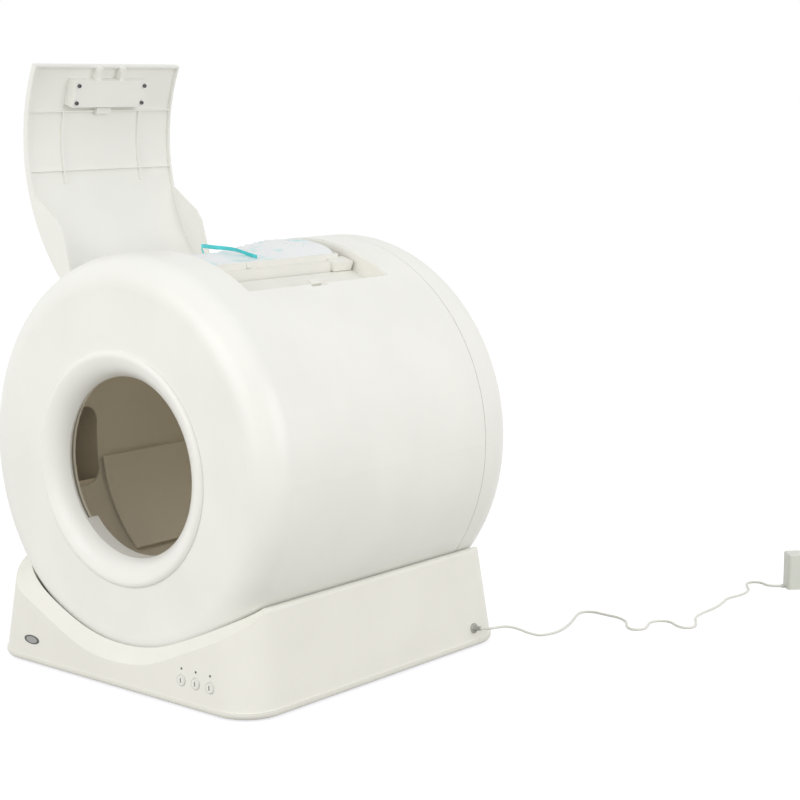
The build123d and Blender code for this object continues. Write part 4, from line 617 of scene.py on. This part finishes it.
def bag_rings():
    rim = rounded_loop(inset(COLLAR_INNER, RIM_GAP), RIM_CORNER)
    lining = rounded_loop(inset(BIN_INNER, LINING_GAP), LINING_CORNER)
    mouth = rounded_loop(BAG_MOUTH, MOUTH_CORNER)
    left, right, front, rear = COLLAR_INNER
    middle = Vector(((left + right) / 2, (front + rear) / 2))
    every = range(RING_POINTS)
    rings = []
    for drop in TUCK_DROPS:
        rings.append([(p.x, p.y, over_drum(p.x, COLLAR_R) - drop) for p in rim])
    for t in COVER_SHARES:
        rings.append([cover_point(rim[i].lerp(mouth[i], t), i, t) for i in every])
    for t, drop in THROAT_STEPS:
        rings.append([throat_point(lining[i].lerp(mouth[i], t), i, t, drop) for i in every])
    for share in WALL_SHARES:
        rings.append([wall_point(p, middle, share) for p in lining])
    for t in FLOOR_SHARES:
        rings.append([floor_point(p.lerp(middle, t)) for p in lining])
    return rings


def add_bag():
    """Film bag, closed at the bottom by a cap in the middle of the bin's floor."""
    rings = bag_rings()
    faces = band_faces(len(rings), RING_POINTS)
    faces.append(cap_face(len(rings) - 1, RING_POINTS))
    bag = mesh_piece("bag", [point for ring in rings for point in ring], faces)
    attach(bag, "bin")
    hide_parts("waste_bag")
    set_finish(bag, "bag_film")
    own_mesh(bag)
    return bag


def spline_through(points, steps):
    """Points of a smooth Catmull-Rom line through the given ones."""
    line = []
    for k in range(len(points) - 1):
        p0 = points[max(k - 1, 0)]
        p1 = points[k]
        p2 = points[k + 1]
        p3 = points[min(k + 2, len(points) - 1)]
        for i in range(steps):
            t = i / steps
            line.append(
                0.5 * (2 * p1 + (p2 - p0) * t + (2 * p0 - 5 * p1 + 4 * p2 - p3) * t * t
                       + (3 * p1 - p0 - 3 * p2 + p3) * t**3)
            )
    line.append(points[-1])
    return line


def add_tape():
    """Drawstring: a flat tape that stands on its edge in a low arch over the film."""
    line = spline_through([Vector(p) / MM_PER_M for p in TAPE_ROUTE], TAPE_STEPS)
    last = len(line) - 1
    verts = []
    for i, p in enumerate(line):
        along = (line[min(i + 1, last)] - line[max(i - 1, 0)]).normalized()
        share = i / last
        lean = TAPE_LEAN + TAPE_TWIST * sin(2 * pi * share)
        side = along.cross(Vector((0, 0, 1))).normalized()
        up = side.cross(along).normalized()
        across = side * cos(lean) + up * sin(lean)
        out = along.cross(across).normalized()
        for a, b in TAPE_SECTION:
            verts.append(tuple(p + across * TAPE_WIDTH * a + out * TAPE_WALL * b))
    count = len(TAPE_SECTION)
    faces = band_faces(len(line), count)
    faces.append(cap_face(0, count)[::-1])
    faces.append(cap_face(last, count))
    tape = mesh_piece("tape", verts, faces)
    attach(tape, "bin")
    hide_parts("bag_drawstring")
    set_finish(tape, "tape_teal")
    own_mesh(tape)
    return tape


def add_lamp(name, place, size, power):
    data = bpy.data.lights.new(name, "AREA")
    data.shape = "RECTANGLE"
    data.size, data.size_y = size
    data.energy = power
    lamp = link(bpy.data.objects.new(name, data))
    lamp.location = place
    lamp.rotation_euler = facing(place, LAMP_AIM)


def backdrop_rays(tree):
    """1 for rays from the camera, a mirror or glass, which see the plain white backdrop."""
    path = tree.nodes.new("ShaderNodeLightPath")
    seen = path.outputs["Is Camera Ray"]
    for kind in ("Is Glossy Ray", "Is Transmission Ray"):
        most = tree.nodes.new("ShaderNodeMath")
        most.operation = "MAXIMUM"
        tree.links.new(seen, most.inputs[0])
        tree.links.new(path.outputs[kind], most.inputs[1])
        seen = most.outputs["Value"]
    return seen


def floor_material():
    """Matt floor that takes the shadow, with a glow that makes it white as a backdrop."""
    material = bpy.data.materials.new("floor")
    material.use_nodes = True
    tree = material.node_tree
    shade = tree.nodes["Principled BSDF"]
    shade.inputs["Roughness"].default_value = 0.9
    shade.inputs["Specular IOR Level"].default_value = 0.1
    shade.inputs["Base Color"].default_value = FLOOR_COLOUR
    glow = tree.nodes.new("ShaderNodeEmission")
    glow.inputs["Color"].default_value = GLOW_COLOUR
    level = tree.nodes.new("ShaderNodeMath")
    level.operation = "MULTIPLY"
    level.inputs[1].default_value = GLOW_STRENGTH
    tree.links.new(backdrop_rays(tree), level.inputs[0])
    tree.links.new(level.outputs["Value"], glow.inputs["Strength"])
    both = tree.nodes.new("ShaderNodeAddShader")
    tree.links.new(shade.outputs["BSDF"], both.inputs[0])
    tree.links.new(glow.outputs["Emission"], both.inputs[1])
    tree.links.new(both.outputs["Shader"], tree.nodes["Material Output"].inputs["Surface"])
    return material


def add_floor():
    low, high = -FLOOR_HALF, FLOOR_HALF
    corners = [(low, low, 0), (high, low, 0), (high, high, 0), (low, high, 0)]
    floor = mesh_piece("floor", corners, [(0, 1, 2, 3)])
    dress(floor, floor_material())


def add_world():
    """Soft light from all round, and plain white where the backdrop is seen."""
    world = bpy.data.worlds.new("studio")
    scene.world = world
    world.use_nodes = True
    tree = world.node_tree
    soft = tree.nodes["Background"]
    soft.inputs["Color"].default_value = SOFT_COLOUR
    soft.inputs["Strength"].default_value = SOFT_STRENGTH
    white = tree.nodes.new("ShaderNodeBackground")
    white.inputs["Color"].default_value = WHITE
    white.inputs["Strength"].default_value = 1.0
    mix = tree.nodes.new("ShaderNodeMixShader")
    tree.links.new(backdrop_rays(tree), mix.inputs["Fac"])
    tree.links.new(soft.outputs["Background"], mix.inputs[1])
    tree.links.new(white.outputs["Background"], mix.inputs[2])
    tree.links.new(mix.outputs["Shader"], tree.nodes["World Output"].inputs["Surface"])


add_camera()
soft_pieces = (add_cord(), add_bag(), add_tape())
materials = {slot: kind(slot, **values) for slot, (kind, values) in FINISHES.items()}
for entry in frame["record"]["subparts"]:
    dress(nodes[entry["node"]], materials[entry["material_slot"]])
for piece in soft_pieces:
    dress(piece, materials[piece["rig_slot"]])
add_floor()
add_world()
for lamp_values in LAMPS:
    add_lamp(*lamp_values)
scene.view_settings.view_transform = "Standard"

bpy.context.view_layer.update()
